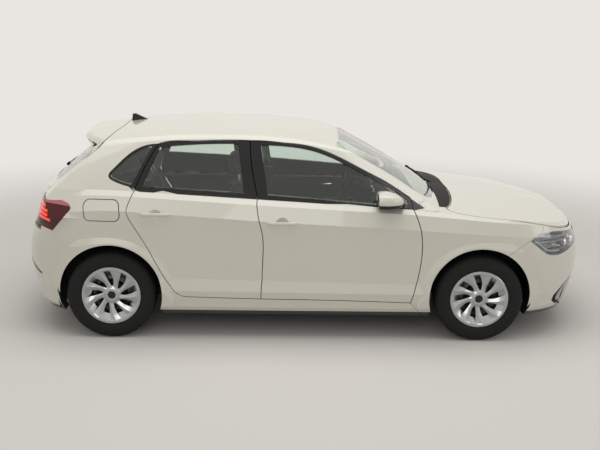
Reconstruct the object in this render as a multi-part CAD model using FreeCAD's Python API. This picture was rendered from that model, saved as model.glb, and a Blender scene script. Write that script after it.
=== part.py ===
"""Five-door hatchback car, right-hand side towards -Y, nose towards +X, wheels on Z = 0.

The outer skin is drawn once as a net of feature lines, and the real panels are cut from it.
Everything is worked out for the right half and mirrored. Millimetres.
"""
import FreeCAD
import Part
import math
import os

V = FreeCAD.Vector

# Overall sizes
LENGTH = 4074.0
WIDTH = 1751.0
HEIGHT = 1451.0
WHEELBASE = 2552.0
FRONT_OVERHANG = 845.0
FRONT_TRACK = 1525.0
REAR_TRACK = 1505.0
TYRE_RADIUS = 308.0
TYRE_WIDTH = 185.0

# Panels
PANEL_GAP = 6.0
DOOR_DEPTH = 130.0
FRAME_DEPTH = 46.0
ROOF_DEPTH = 34.0
BONNET_DEPTH = 20.0
BONNET_FLANGE = 6.0
BONNET_GAP = 8.0
BUMPER_DEPTH = 60.0
WING_DEPTH = 50.0
GLASS_THICKNESS = 4.0
GLASS_INSET = 5.0
BELT_STEP = 8.0
ARCH_RADIUS = 354.0
ARCH_RISE = 16.0
ARCH_LIP = 13.0

NOSE_X = LENGTH / 2
TAIL_X = -LENGTH / 2
FRONT_AXLE_X = NOSE_X - FRONT_OVERHANG
REAR_AXLE_X = FRONT_AXLE_X - WHEELBASE
HALF = WIDTH / 2
HUB_Z = TYRE_RADIUS

# Sizes the drawing was made for: a change to the sizes above is taken up between these
DRAWN_AXLES = (1192.0, -1360.0)
DRAWN_OVERHANGS = (845.0, 677.0)
DRAWN_WAIST_Z = 1000.0
DRAWN_HEIGHT = 1451.0

# Fixed stations along the side
A_POST_X = FRONT_AXLE_X - 402.0
B_POST_X = FRONT_AXLE_X - 1522.0
FRONT_SQUARENESS = 2.6
REAR_SQUARENESS = 3.0
STATIONS_ROUND_END = 10
STATIONS_ALONG_SIDE = 10

# Each feature line: inset from the plan outline and height, at the nose centre, front corner,
# front axle, A post, B post, rear axle, rear corner and tail centre.
LINES = {
    "bottom": ([80, 78, 80, 80, 80, 85, 95, 105], [170] * 8),
    "sill": ([42, 40, 38, 37, 37, 40, 50, 58], [232] * 8),
    "lower_crease": ([22, 20, 11, 9, 9, 12, 22, 26], [335, 340, 345, 345, 352, 358, 360, 360]),
    "door_hollow": ([0, 6, 18, 20, 22, 20, 10, 3], [440, 440, 420, 412, 433, 452, 470, 480]),
    "flank": ([0, 3, 13, 15, 16, 13, 2, 0], [560, 560, 560, 560, 580, 610, 600, 590]),
    "under_shoulder": ([8, 6, 9, 12, 14, 10, 6, 10], [650, 660, 690, 720, 760, 800, 745, 690]),
    "shoulder": ([40, 22, 8, 2, 0, 3, 34, 88], [705, 720, 775, 803, 856, 922, 850, 765]),
    "waist_crease": ([86, 52, 28, 30, 36, 62, 92, 104], [765, 790, 866, 903, 958, 1012, 975, 890]),
    "waist": ([112, 82, 46, 62, 72, 92, 134, 146], [792, 815, 884, 930, 990, 1042, 1030, 1010]),
}
# How far a line also sinks when the form is shrunk by a wall
SINKING = {"waist_crease": 0.5, "waist": 0.9}
SKIN_BANDS = [
    ["bottom", "sill"],
    ["sill", "lower_crease"],
    ["lower_crease", "door_hollow"],
    ["door_hollow", "flank", "under_shoulder", "shoulder"],
    ["shoulder", "waist_crease"],
    ["waist_crease", "waist"],
]


def fx(x):
    """Real place of a drawn x."""
    if x > DRAWN_AXLES[0]:
        return FRONT_AXLE_X + (x - DRAWN_AXLES[0]) * FRONT_OVERHANG / DRAWN_OVERHANGS[0]
    if x < DRAWN_AXLES[1]:
        return REAR_AXLE_X + (x - DRAWN_AXLES[1]) * (REAR_AXLE_X - TAIL_X) / DRAWN_OVERHANGS[1]
    share = (x - DRAWN_AXLES[1]) / (DRAWN_AXLES[0] - DRAWN_AXLES[1])
    return REAR_AXLE_X + share * WHEELBASE


def fz(z):
    """Real height of a drawn z: only the greenhouse takes up a change of height."""
    if z < DRAWN_WAIST_Z:
        return z
    return DRAWN_WAIST_Z + (z - DRAWN_WAIST_Z) * (HEIGHT - DRAWN_WAIST_Z) / (DRAWN_HEIGHT - DRAWN_WAIST_Z)


def clamped(count, degree):
    """Knots and multiplicities of a clamped, evenly spaced curve."""
    spans = count - degree
    knots = [i / spans for i in range(spans + 1)]
    return knots, [degree + 1] + [1] * (spans - 1) + [degree + 1]


def patch(rows):
    """Smooth face over a net of control points."""
    across, along = min(3, len(rows) - 1), min(3, len(rows[0]) - 1)
    row_knots, row_mults = clamped(len(rows), across)
    point_knots, point_mults = clamped(len(rows[0]), along)
    surface = Part.BSplineSurface()
    surface.buildFromPolesMultsKnots(
        rows, row_mults, point_mults, row_knots, point_knots, False, False, across, along)
    return surface.toShape()


def control_curve(points):
    """Smooth edge with these control points, as on the rim of a patch."""
    degree = min(3, len(points) - 1)
    knots, mults = clamped(len(points), degree)
    curve = Part.BSplineCurve()
    curve.buildFromPolesMultsKnots(points, mults, knots, False, degree)
    return curve.toShape()


def spread(values, at):
    """Value at a place counted in anchors, level where the line crosses the centre plane."""
    i = min(int(at), len(values) - 2)
    share = at - i
    if i == 0:
        share = share ** 2
    if i == len(values) - 2:
        share = 1 - (1 - share) ** 2
    return values[i] + (values[i + 1] - values[i]) * share


def along(points, x):
    """Height on a line of (x, z) points."""
    points = sorted(points)
    if x <= points[0][0]:
        return points[0][1]
    for (x0, z0), (x1, z1) in zip(points, points[1:]):
        if x <= x1:
            return z0 + (z1 - z0) * (x - x0) / (x1 - x0)
    return points[-1][1]


def plan_outline():
    """Right half of the widest plan outline: (x, y, outward normal, anchor) from nose to tail."""
    found = []
    quarter = math.pi / 2

    def corner(angle, end_x, side_x, squareness):
        power = 2 / squareness
        c, s = math.cos(angle), math.sin(angle)
        x = side_x + (end_x - side_x) * max(c, 0) ** power
        y = -HALF * max(s, 0) ** power
        nx = max(c, 0) ** (2 - power) / abs(end_x - side_x) * (1 if end_x > side_x else -1)
        ny = -max(s, 0) ** (2 - power) / HALF
        size = math.hypot(nx, ny)
        return x, y, nx / size, ny / size

    for i in range(STATIONS_ROUND_END):
        angle = quarter * i / STATIONS_ROUND_END
        found.append((*corner(angle, NOSE_X, FRONT_AXLE_X, FRONT_SQUARENESS), 2 * angle / quarter))
    found[1] = (NOSE_X, found[1][1], 1, 0, found[1][4])
    marks = [FRONT_AXLE_X, A_POST_X, B_POST_X, REAR_AXLE_X]
    for i in range(STATIONS_ALONG_SIDE + 1):
        x = FRONT_AXLE_X + (REAR_AXLE_X - FRONT_AXLE_X) * i / STATIONS_ALONG_SIDE
        k = next(k for k in range(3) if x >= marks[k + 1] - 0.001)
        found.append((x, -HALF, 0, -1, 2 + k + (marks[k] - x) / (marks[k] - marks[k + 1])))
    for i in range(1, STATIONS_ROUND_END + 1):
        angle = quarter * (1 - i / STATIONS_ROUND_END)
        found.append((*corner(angle, TAIL_X, REAR_AXLE_X, REAR_SQUARENESS), 7 - 2 * angle / quarter))
    found[-2] = (TAIL_X, found[-2][1], -1, 0, found[-2][4])
    return found


OUTLINE = plan_outline()


def feature_line(name, deeper=0.0):
    insets, heights = LINES[name]
    points = []
    for x, y, nx, ny, at in OUTLINE:
        inset = spread(insets, at) + deeper
        z = spread(heights, at) - SINKING.get(name, 0) * deeper
        points.append(V(x - nx * inset, min(0, y - ny * inset), z))
    points[0].y = 0
    points[-1].y = 0
    return points


def half_width(x):
    """Half of the plan outline's width at x."""
    return -along([(p[0], p[1]) for p in OUTLINE], x)


def line_inset(name, x):
    side = [(p[0] - 0.001 * i, spread(LINES[name][0], p[4])) for i, p in enumerate(OUTLINE)]
    return along(side, x)


def line_height(name, x):
    side = [(p[0] - 0.001 * i, spread(LINES[name][1], p[4])) for i, p in enumerate(OUTLINE)]
    return along(side, x)


# Spine of the bonnet and of the hidden deck behind it
SPINE = [
    (1777.0, 872.0), (1572.0, 905.0), (1192.0, 945.0), (1062.0, 958.0),
    (790.0, 985.0), (-330.0, 1000.0), (-1707.0, 1010.0)]
DECK_ROWS = 4


def deck_rows(deeper):
    """Control rows from the waist line in to the centreline."""
    edge = feature_line("waist", deeper)
    front, rear = fx(SPINE[0][0]), fx(SPINE[-1][0])
    spine = [(fx(x), z - deeper) for x, z in SPINE]
    rows = [edge]
    for row in range(1, DECK_ROWS + 1):
        share = row / DECK_ROWS
        rise = 1 - (1 - share) ** 2
        points = []
        for i, p in enumerate(edge):
            x_spine = front + (rear - front) * i / (len(edge) - 1)
            inner = max(rear, min(front, 0.35 * x_spine + 0.65 * p.x))
            points.append(V(p.x + (inner - p.x) * share, p.y * (1 - share),
                            p.z + (along(spine, inner) - p.z) * rise))
        rows.append(points)
    for row in rows:
        row[0].y = row[-1].y = 0
    for p, q in zip(rows[-2], rows[-1]):
        p.z = q.z
    return rows


def outward(solid):
    """The same solid with its skin facing out."""
    if solid.Volume < 0:
        solid.reverse()
    return solid


def closed_half(bands, extra):
    """Solid of the right half: bands of control rows, closed on the centre plane and below."""
    faces = [patch(rows) for rows in bands]
    first, last = bands[0][0], bands[-1][-1]
    ends = []
    for end in (0, -1):
        ends.append([control_curve([row[end] for row in rows]) for rows in bands])
    faces += extra(first, last, ends)
    shell = Part.makeShell(faces)
    shell.sewShape()
    return outward(Part.makeSolid(shell.Shells[0]))


def flat_face(edges):
    return Part.Face(Part.Wire(Part.__sortEdges__(edges)))


def lower_body(deeper=0.0):
    """Everything below the waist, or the same form shrunk by a wall."""
    bands = []
    for names in SKIN_BANDS:
        bands.append([feature_line(n, deeper) for n in names])
    bands.append(deck_rows(deeper))

    def closing(first, last, ends):
        chord = Part.makeLine(first[0], first[-1])
        return [flat_face(ends[0] + ends[1] + [chord, control_curve(last)]),
                flat_face([control_curve(first), chord])]

    return closed_half(bands, closing)


# Greenhouse: heights along the side and the centre, and the slope of both screens
RAIL = [(-2100.0, 1220.0), (-1900.0, 1250.0), (-1500.0, 1300.0), (-1230.0, 1338.0),
        (-1000.0, 1360.0), (-780.0, 1371.0), (-560.0, 1375.0), (-330.0, 1370.0),
        (-100.0, 1353.0), (100.0, 1325.0), (350.0, 1270.0), (900.0, 1140.0)]
CROWN = [(-2100.0, 1300.0), (-1900.0, 1335.0), (-1500.0, 1390.0), (-1230.0, 1427.0),
         (-1000.0, 1443.0), (-780.0, 1451.0), (-560.0, 1452.8), (-330.0, 1447.5),
         (-100.0, 1432.0), (100.0, 1402.0), (350.0, 1335.0), (900.0, 1180.0)]
GREENHOUSE_STATIONS = 14
GREENHOUSE_REAR_X = -2100.0
GREENHOUSE_FRONT_X = 1100.0
RAIL_INSET = 277.5
SCREEN_LINE = [(-30.0, 1500.0), (205.0, 1372.0), (560.0, 1186.0), (915.0, 985.0), (1230.0, 800.0)]
SCREEN_BOW = [-70.0] * 5
REAR_LINE = [(-1330.0, 1500.0), (-1476.0, 1372.0), (-1625.0, 1246.0), (-1741.0, 1143.0),
             (-1830.0, 1059.0), (-1896.0, 994.0), (-1902.0, 970.0), (-1906.0, 800.0)]
REAR_BOW = [108.0, 106.0, 95.0, 79.0, 66.0, 60.0, 60.0, 60.0]
SPOILER_REACH = 128.0
SPOILER_THICKNESS = 22.0
BOW_HALF_WIDTH = 600.0


def greenhouse_rows(deeper):
    rows = [[] for i in range(8)]
    rail_line = [(fx(x), fz(z)) for x, z in RAIL]
    crown_line = [(fx(x), fz(z)) for x, z in CROWN]
    for i in range(GREENHOUSE_STATIONS + 1):
        drawn = GREENHOUSE_REAR_X + (GREENHOUSE_FRONT_X - GREENHOUSE_REAR_X) * i / GREENHOUSE_STATIONS
        x = fx(drawn)
        belt_x = max(REAR_AXLE_X - 250, min(x, A_POST_X))
        belt = HALF - line_inset("waist", belt_x) - BELT_STEP
        belt_z = line_height("waist", belt_x)
        rail_z, crown = along(rail_line, x), along(crown_line, x)
        narrow = 60 * max(0, (-1300 - drawn) / 600) ** 2 + 45 * max(0, (drawn - 200) / 600) ** 2
        rail = HALF - RAIL_INSET - narrow
        side, top = 0.88 * deeper, deeper
        section = [
            (belt + 0.50 * (belt_z - 860) - side, 860), (belt - side, belt_z),
            (belt + 0.5 * (rail - belt) + 16 - side, 0.5 * (belt_z + rail_z)),
            (rail - side, rail_z - 0.6 * top),
            (rail - 42 - 0.5 * side, rail_z + 0.46 * (crown - rail_z) - 0.8 * top),
            (0.72 * rail - 0.3 * side, rail_z + 0.80 * (crown - rail_z) - top),
            (0.33 * rail, crown - top), (0, crown - top)]
        for row, (y, z) in zip(rows, section):
            row.append(V(x, -y, z))
    return rows


def sloping_face(line, bow, deeper):
    """Screen surface: a side-view line swept across, each height with its own bow."""
    rows = []
    for (x, z), draw_in in zip(line, bow):
        row = []
        for y in (150, -150, -400, -650, -1000):
            fall = draw_in * (y / BOW_HALF_WIDTH) ** 2 if y < 0 else 0
            row.append(V(fx(x) + fall + deeper, y, fz(z)))
        rows.append(row)
    return patch(rows)


def greenhouse_form(deeper=0.0):
    """Roof and side glass above the waist, before the two screens cut it."""
    rows = greenhouse_rows(deeper)
    bands = [rows[0:2], rows[1:4], rows[3:8]]

    def closing(first, last, ends):
        low = [V(first[0].x, 0, first[0].z), V(first[-1].x, 0, first[-1].z)]
        floor = Part.makeLine(low[0], low[1])
        sides = [Part.makeLine(first[0], low[0]), Part.makeLine(first[-1], low[1])]
        found = [flat_face([floor, control_curve(first)] + sides),
                 flat_face([floor, control_curve(last), Part.makeLine(low[0], last[0]),
                            Part.makeLine(low[1], last[-1])])]
        for i, end in enumerate((0, -1)):
            found.append(flat_face(ends[i] + [sides[i], Part.makeLine(low[i], last[end])]))
        return found

    return closed_half(bands, closing)


def greenhouse(deeper=0.0):
    """The greenhouse between the two screens, or the same form shrunk by a wall."""
    solid = greenhouse_form(deeper)
    # Square to the slope, so measured along X it takes more
    screen = sloping_face(SCREEN_LINE, SCREEN_BOW, -2.1 * deeper).extrude(V(-4500, 0, 0))
    rear = sloping_face(REAR_LINE, REAR_BOW, 1.45 * deeper).extrude(V(4500, 0, 0))
    return solid.common(outward(screen)).common(outward(rear))


def spoiler_lip():
    """The roof carried on over the rear window as a thin lip."""
    reach = sloping_face(REAR_LINE, REAR_BOW, -SPOILER_REACH).extrude(V(4500, 0, 0))
    return greenhouse_form().common(outward(reach)).cut([greenhouse(), greenhouse_form(SPOILER_THICKNESS)])


# Outlines in drawn places, as runs of points that each make one smooth edge
def closed_run(*runs):
    return [list(r) for r in runs]


def filled_in(points):
    """More points on the same smooth run, so that an offset of it keeps its form."""
    curve = Part.BSplineCurve()
    curve.interpolate([V(a, b, 0) for a, b in points])
    return [(p.x, p.y) for p in curve.discretize(3 * len(points) - 2)]


FRONT_EDGE = [(712, 280), (741, 396), (766, 534), (774, 645), (763, 781), (742, 860), (712, 930)]
PILLAR_EDGE = [(712, 930), (693, 1003)]
FRONT_TOP = [(693, 1003), (649, 1031), (519, 1107), (388, 1170), (257, 1236), (126, 1294),
             (-6, 1335), (-138, 1350), (-280, 1358), (-426, 1362)]
B_EDGE_TOP = [(-426, 1362), (-362, 1008)]
B_EDGE = [(-362, 1008), (-341, 873), (-317, 770), (-314, 565), (-321, 380), (-325, 300)]
FRONT_FOOT = [(-325, 300), (200, 294), (712, 280)]
REAR_TOP = [(-426, 1362), (-549, 1365), (-760, 1361), (-917, 1350), (-1062, 1333)]
C_EDGE_TOP = [(-1062, 1333), (-1195, 1051)]
C_EDGE = [(-1195, 1051), (-1218, 980), (-1230, 925), (-1221, 880), (-1178, 800), (-1056, 584),
          (-956, 406), (-904, 340), (-852, 312)]
REAR_FOOT = [(-852, 312), (-600, 306), (-325, 300)]
FRONT_DOOR = closed_run(FRONT_EDGE, PILLAR_EDGE, FRONT_TOP, B_EDGE_TOP, B_EDGE, FRONT_FOOT)
REAR_DOOR = closed_run(B_EDGE[::-1], B_EDGE_TOP[::-1], REAR_TOP, C_EDGE_TOP, C_EDGE, REAR_FOOT)
FRONT_GLASS = closed_run(
    [(672, 985), (600, 1040), (519, 1081), (388, 1144), (257, 1207), (126, 1264), (-6, 1304),
     (-138, 1324), (-240, 1331), (-338, 1335)],
    [(-338, 1335), (-285, 1018)], [(-285, 1018), (200, 982), (672, 944)], [(672, 944), (672, 985)])
REAR_GLASS = closed_run(
    [(-495, 1340), (-600, 1340), (-760, 1334), (-917, 1323), (-1032, 1311)],
    [(-1032, 1311), (-1142, 1062)], [(-1142, 1062), (-900, 1050), (-448, 1028)],
    [(-448, 1028), (-495, 1340)])
QUARTER_GLASS = closed_run(
    [(-1085, 1316), (-1150, 1303), (-1201, 1278), (-1280, 1215), (-1350, 1146)],
    [(-1350, 1146), (-1356, 1128), (-1340, 1112)],
    [(-1340, 1112), (-1290, 1092), (-1212, 1074)], [(-1212, 1074), (-1085, 1316)])
FUEL_FLAP = closed_run(
    [(-1340, 985), (-1470, 985)], [(-1470, 985), (-1510, 975), (-1527, 940)],
    [(-1527, 940), (-1520, 888)], [(-1520, 888), (-1508, 853), (-1470, 845)],
    [(-1470, 845), (-1335, 843)], [(-1335, 843), (-1296, 852), (-1280, 890)],
    [(-1280, 890), (-1285, 940)], [(-1285, 940), (-1300, 975), (-1340, 985)])
REAR_LAMP = closed_run(
    [(-2100, 1010), (-1857, 1008)], [(-1857, 1008), (-1827, 992), (-1700, 973)],
    [(-1700, 973), (-1635, 955), (-1613, 929), (-1622, 905)], [(-1622, 905), (-1749, 757)],
    [(-1749, 757), (-1826, 772), (-2100, 772)], [(-2100, 772), (-2100, 1010)])
HEADLAMP = closed_run(
    [(1522, 726), (1560, 752), (1611, 772), (1700, 778), (2100, 770)], [(2100, 770), (2100, 655)],
    [(2100, 655), (1850, 622), (1776, 607), (1696, 611), (1641, 633)], [(1641, 633), (1522, 726)])
SIDE_INTAKE = closed_run(
    [(1739, 264), (1750, 300)], [(1750, 300), (1866, 394), (1945, 434), (2100, 440)],
    [(2100, 440), (2100, 190)], [(2100, 190), (1894, 186), (1796, 215), (1739, 264)])
FRONT_BUMPER = closed_run(
    [(2200, 652), (1850, 619), (1776, 604), (1696, 608), (1641, 630)], [(1641, 630), (1520, 722)],
    [(1520, 722), (1440, 672), (1330, 602)], [(1330, 602), (1480, 120)], [(1480, 120), (2200, 120)],
    [(2200, 120), (2200, 652)])
FRONT_WING = closed_run(
    [(1519, 727), (1438, 676), (1328, 606)], [(1328, 606), (1480, 120)], [(1480, 120), (850, 120)],
    [(850, 120), (740, 280)], FRONT_EDGE, [(712, 930), (788, 944)], [(788, 944), (748, 971)],
    [(748, 971), (816, 998)], [(816, 998), (816, 1100)], [(816, 1100), (1700, 1100)],
    [(1700, 1100), (1611, 775)], [(1611, 775), (1560, 755), (1519, 727)])
SAIL_PANEL = closed_run([(712, 931), (786, 944)], [(786, 944), (746, 970)], [(746, 970), (695, 1001)],
                        [(695, 1001), (712, 931)])
REAR_BUMPER = closed_run(
    [(-2200, 748), (-1738, 748)], [(-1738, 748), (-1600, 600)], [(-1600, 600), (-1650, 120)],
    [(-1650, 120), (-2200, 120)], [(-2200, 120), (-2200, 748)])


def flattened(runs):
    return [p for run in runs for p in run[:-1]]


def moved_out(runs, by):
    """Outline with every point moved outwards, as where a shut line goes round a panel."""
    points = flattened(runs)
    count = len(points)
    doubled_area = 0
    for i in range(count):
        a, b = points[i - 1], points[i]
        doubled_area += a[0] * b[1] - b[0] * a[1]
    turn = 1 if doubled_area > 0 else -1
    moved = []
    for i in range(count):
        a, b, c = points[i - 1], points[i], points[(i + 1) % count]
        normals = []
        for p, q in ((a, b), (b, c)):
            size = math.hypot(q[0] - p[0], q[1] - p[1])
            normals.append((turn * (q[1] - p[1]) / size, -turn * (q[0] - p[0]) / size))
        (nx, ny), (mx, my) = normals
        k = by / max(0.35, 1 + nx * mx + ny * my)
        moved.append((b[0] + k * (nx + mx), b[1] + k * (ny + my)))
    found, at = [], 0
    for run in runs:
        size = len(run) - 1
        found.append([moved[(at + i) % count] for i in range(size + 1)])
        at += size
    return found


def run_edges(runs, place):
    edges = []
    for run in runs:
        points = [place(*p) for p in run]
        if len(points) == 2:
            edges.append(Part.makeLine(points[0], points[1]))
        else:
            curve = Part.BSplineCurve()
            curve.interpolate(points)
            edges.append(curve.toShape())
    return edges


def side_prism(runs, grow=0.0, y_from=-1100.0, y_to=-300.0):
    """Prism across the car over a side-view outline."""
    wire = Part.Wire(run_edges(moved_out(runs, grow), lambda x, z: V(fx(x), y_from, fz(z))))
    return outward(Part.Face(wire).extrude(V(0, y_to - y_from, 0)))


def door_prism(runs, grow, slants, y_from=-1100.0, y_to=-420.0):
    """Prism for a door, whose rear edges draw in with depth so that it swings past its neighbour."""
    runs = moved_out(runs, grow)
    wires = []
    for y in (y_from, y_to):
        placed = []
        for run in runs:
            points = []
            for x, z in run:
                lean = slants(x, z)
                skin = -(HALF - 30 - max(0, z - 960) * 0.52)
                points.append((x + lean * (y - skin), z))
            placed.append(points)
        wires.append(Part.Wire(run_edges(placed, lambda x, z: V(fx(x), y, fz(z)))))
    return outward(Part.makeLoft(wires, True, True))


def plan_prism(runs, grow=0.0, z_from=0.0, z_to=1600.0):
    wire = Part.Wire(run_edges(moved_out(runs, grow), lambda x, y: V(fx(x), y, z_from)))
    return outward(Part.Face(wire).extrude(V(0, 0, z_to - z_from)))


def rear_prism(runs, grow, x_from, x_to):
    """Prism along the car over an outline of (y, z) points."""
    wire = Part.Wire(run_edges(moved_out(runs, grow), lambda y, z: V(fx(x_from), y, fz(z))))
    return outward(Part.Face(wire).extrude(V(fx(x_to) - fx(x_from), 0, 0)))


def box(x0, x1, y0, y1, z0, z1):
    return Part.makeBox(x1 - x0, y1 - y0, z1 - z0, V(x0, y0, z0))


def drawn_box(x0, x1, y0, y1, z0, z1):
    return box(fx(x0), fx(x1), y0, y1, z0, z1)


def across(radius, x, z, y0, y1):
    """Cylinder lying across the car."""
    return Part.makeCylinder(radius, y1 - y0, V(x, y0, z), V(0, 1, 0))


def ring_across(profile, x, z):
    """Solid turned about an axle from (radius, y) points."""
    wire = Part.makePolygon([V(x + r, y, z) for r, y in profile + profile[:1]])
    return outward(Part.Face(wire).revolve(V(x, 0, z), V(0, 1, 0), 360))


def mirrored(shape):
    return shape.mirror(V(0, 0, 0), V(0, 1, 0))


def both(shape):
    """A centre piece from its right half."""
    return shape.fuse(mirrored(shape))


def pair(shape):
    """Two pieces in one node, one on each side."""
    return Part.makeCompound([shape, mirrored(shape)])


def save(name, shape):
    """Write a node, leaving out slivers that a cut has left."""
    solids = [s for s in shape.Solids if s.Volume > 2000]
    if len(solids) == 1:
        shape = solids[0]
    else:
        shape = Part.makeCompound(solids)
    if not shape.isValid():
        print("not valid:", name)
    shape.exportStep("parts/" + name + ".step")

def slant_front_door(x, z):
    """How fast the front door's edge draws in: only its rear edge does."""
    if x > -200:
        return 0.0
    return 0.17 if z < 960 else 0.17 + 0.22 * (z - 960) / 400


def slant_rear_door(x, z):
    if x > -500:
        return slant_front_door(-400, z)
    if -1300 < x < -820 and not (z > 1300 and x > -1000) and z > 300:
        return 0.22 if z < 960 else 0.22 + 0.28 * (z - 960) / 400
    return 0.0


CABIN_PROFILE = closed_run(
    [(790, 330), (790, 940)], [(790, 940), (700, 1500)], [(700, 1500), (-1420, 1500)],
    [(-1420, 1500), (-1530, 1400)], [(-1530, 1400), (-1870, 990)], [(-1870, 990), (-1890, 800)],
    [(-1890, 800), (-1930, 700)], [(-1930, 700), (-1930, 480)], [(-1930, 480), (-1050, 480)],
    [(-1050, 480), (-950, 330)], [(-950, 330), (790, 330)])
TAILGATE = closed_run(
    [(50, 655), (-470, 655)], [(-470, 655), (-520, 752)], [(-520, 752), (-572, 766), (-600, 810)],
    [(-600, 810), (-600, 1600)], [(-600, 1600), (50, 1600)], [(50, 1600), (50, 655)])
TAILGATE_SLAB = closed_run(
    [(-1810, 1000), (-1890, 800)], [(-1890, 800), (-1930, 700)], [(-1930, 700), (-1960, 600)],
    [(-1960, 600), (-2200, 600)], [(-2200, 600), (-2200, 1000)], [(-2200, 1000), (-1810, 1000)])
TAILGATE_TOP = closed_run(
    [(-1300, 1600), (-1300, 1380)], [(-1300, 1380), (-1470, 1355)], [(-1470, 1355), (-1470, 1600)],
    [(-1470, 1600), (-1300, 1600)])
TAILGATE_PLAN = closed_run(
    [(-1335, 60), (-1335, 0), (-1342, -250), (-1371, -400), (-1412, -530), (-1480, -612)],
    [(-1480, -612), (-1480, -700)], [(-1480, -700), (-2200, -700)], [(-2200, -700), (-2200, 60)],
    [(-2200, 60), (-1335, 60)])
REAR_WINDOW = closed_run(
    [(90, 1040), (-300, 1042), (-530, 1052)], [(-530, 1052), (-582, 1088)],
    [(-582, 1088), (-554, 1272)], [(-554, 1272), (-300, 1330), (90, 1346)], [(90, 1346), (90, 1040)])
BONNET = closed_run(
    [(1043, 60), (1043, -200), (1020, -500), (985, -640)], [(985, -640), (953, -706)],
    [(953, -706), (990, -768), (1063, -797), (1167, -812)],
    filled_in([(1167, -812), (1407, -806), (1611, -762), (1740, -690), (1850, -560), (1915, -400),
               (1944, -200), (1950, 60)]), [(1950, 60), (1043, 60)])
B_PILLAR = closed_run([(-480, 1400), (-400, 860)], [(-400, 860), (-270, 860)], [(-270, 860), (-350, 1400)],
                      [(-350, 1400), (-480, 1400)])
WINDSCREEN = closed_run(
    [(50, 955), (-185, 959), (-540, 967)], [(-540, 967), (-634, 990)],
    [(-634, 990), (-641, 1045), (-606, 1110), (-588, 1210), (-570, 1318)], [(-570, 1318), (-545, 1340)],
    [(-545, 1340), (-300, 1356), (50, 1362)], [(50, 1362), (50, 955)])
COWL = closed_run(
    [(1037, 60), (1037, -200), (1014, -500), (980, -636)], [(980, -636), (950, -700)],
    [(950, -700), (820, -690)], [(820, -690), (838, -600), (888, -300), (926, 60)],
    [(926, 60), (1037, 60)])
ENGINE_BAY = closed_run(
    [(850, 20), (850, -445)], [(850, -445), (1580, -445)], [(1580, -445), (1580, -640)],
    [(1580, -640), (1790, -640)], [(1790, -640), (1870, -420)], [(1870, -420), (1880, 20)],
    [(1880, 20), (850, 20)])
TAILGATE_LAMP = closed_run(
    [(-440, 868), (-640, 852)], [(-640, 852), (-660, 990)], [(-660, 990), (-440, 962)],
    [(-440, 962), (-418, 915), (-440, 868)])
REFLECTOR = closed_run([(-1975, 484), (-1858, 436)], [(-1858, 436), (-1862, 420)],
                       [(-1862, 420), (-1975, 462)], [(-1975, 462), (-1975, 484)])

# Wheels and running gear
RIM_RADIUS = 190.5
RIM_HALF_WIDTH = 82.0
COVER_RADIUS = 204.0
COVER_BLADES = 9
WINDOW_TURN = {"front": 93.0, "rear": 93.0}
KINGPIN_Y = 671.0
INNER_ARCH_RADIUS = 372.0
FLOOR_Z = 236.0
REAR_FLOOR_Z = 340.0
SPINDLE_RADIUS = 29.0
PIN_PLAY = 0.5
GATE_DEPTH = 75.0
CUP_SPHERE = 62.0
CUP_RADIUS = 45.0
SEAL_WIDTH = 38.0
LENS_THICKNESS = 3.0
PLATE = (520.0, 110.0)
FRONT_PLATE_Z = 440.0
REAR_PLATE_Z = 432.0


def tyre(x, y):
    """Tyre about the wheel centre, with a rounded shoulder."""
    half, r = TYRE_WIDTH / 2, TYRE_RADIUS
    bead = RIM_RADIUS + 13.5
    side = [(RIM_RADIUS + 0.3, 75.6), (bead, 77.6), (bead, 85), (RIM_RADIUS + 40, half - 1),
            (RIM_RADIUS + 62, half), (r - 34, half - 4), (r - 16, half - 12), (r - 6, half - 22),
            (r - 2, half - 34), (r, 40), (r, 0)]
    profile = [(a, y + b) for a, b in side] + [(a, y - b) for a, b in side[-2::-1]]
    return ring_across(profile, x, HUB_Z)


def wheel(x, y, out):
    """Pressed steel wheel with its hub; out is -1 on the right side."""
    def at(points):
        return [(r, y + out * d) for r, d in points]
    r, edge = RIM_RADIUS, RIM_HALF_WIDTH
    barrel = ring_across(at([
        (r, -76), (r + 13, -78), (r + 13, -edge), (r - 7, -edge), (r - 24, -10), (r - 24, 30),
        (r - 7, edge), (r + 13, edge), (r + 13, 78), (r, 76), (r - 18, 32), (r - 18, -12)]), x, HUB_Z)
    disc = ring_across(at([
        (32, 18), (82, 18), (112, 42), (r - 20, 24), (r - 20, 18), (112, 35), (86, 10), (32, 10)]),
        x, HUB_Z)
    hub = ring_across(at([
        (0, -72), (SPINDLE_RADIUS, -72), (SPINDLE_RADIUS, -50), (68, -46), (68, -30), (60, -30),
        (60, 18), (30, 30), (0, 30)]), x, HUB_Z)
    brake = ring_across(at([(58, -30), (128, -30), (128, -8), (58, -8)]), x, HUB_Z)
    return barrel.fuse([disc, hub, brake])


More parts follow.
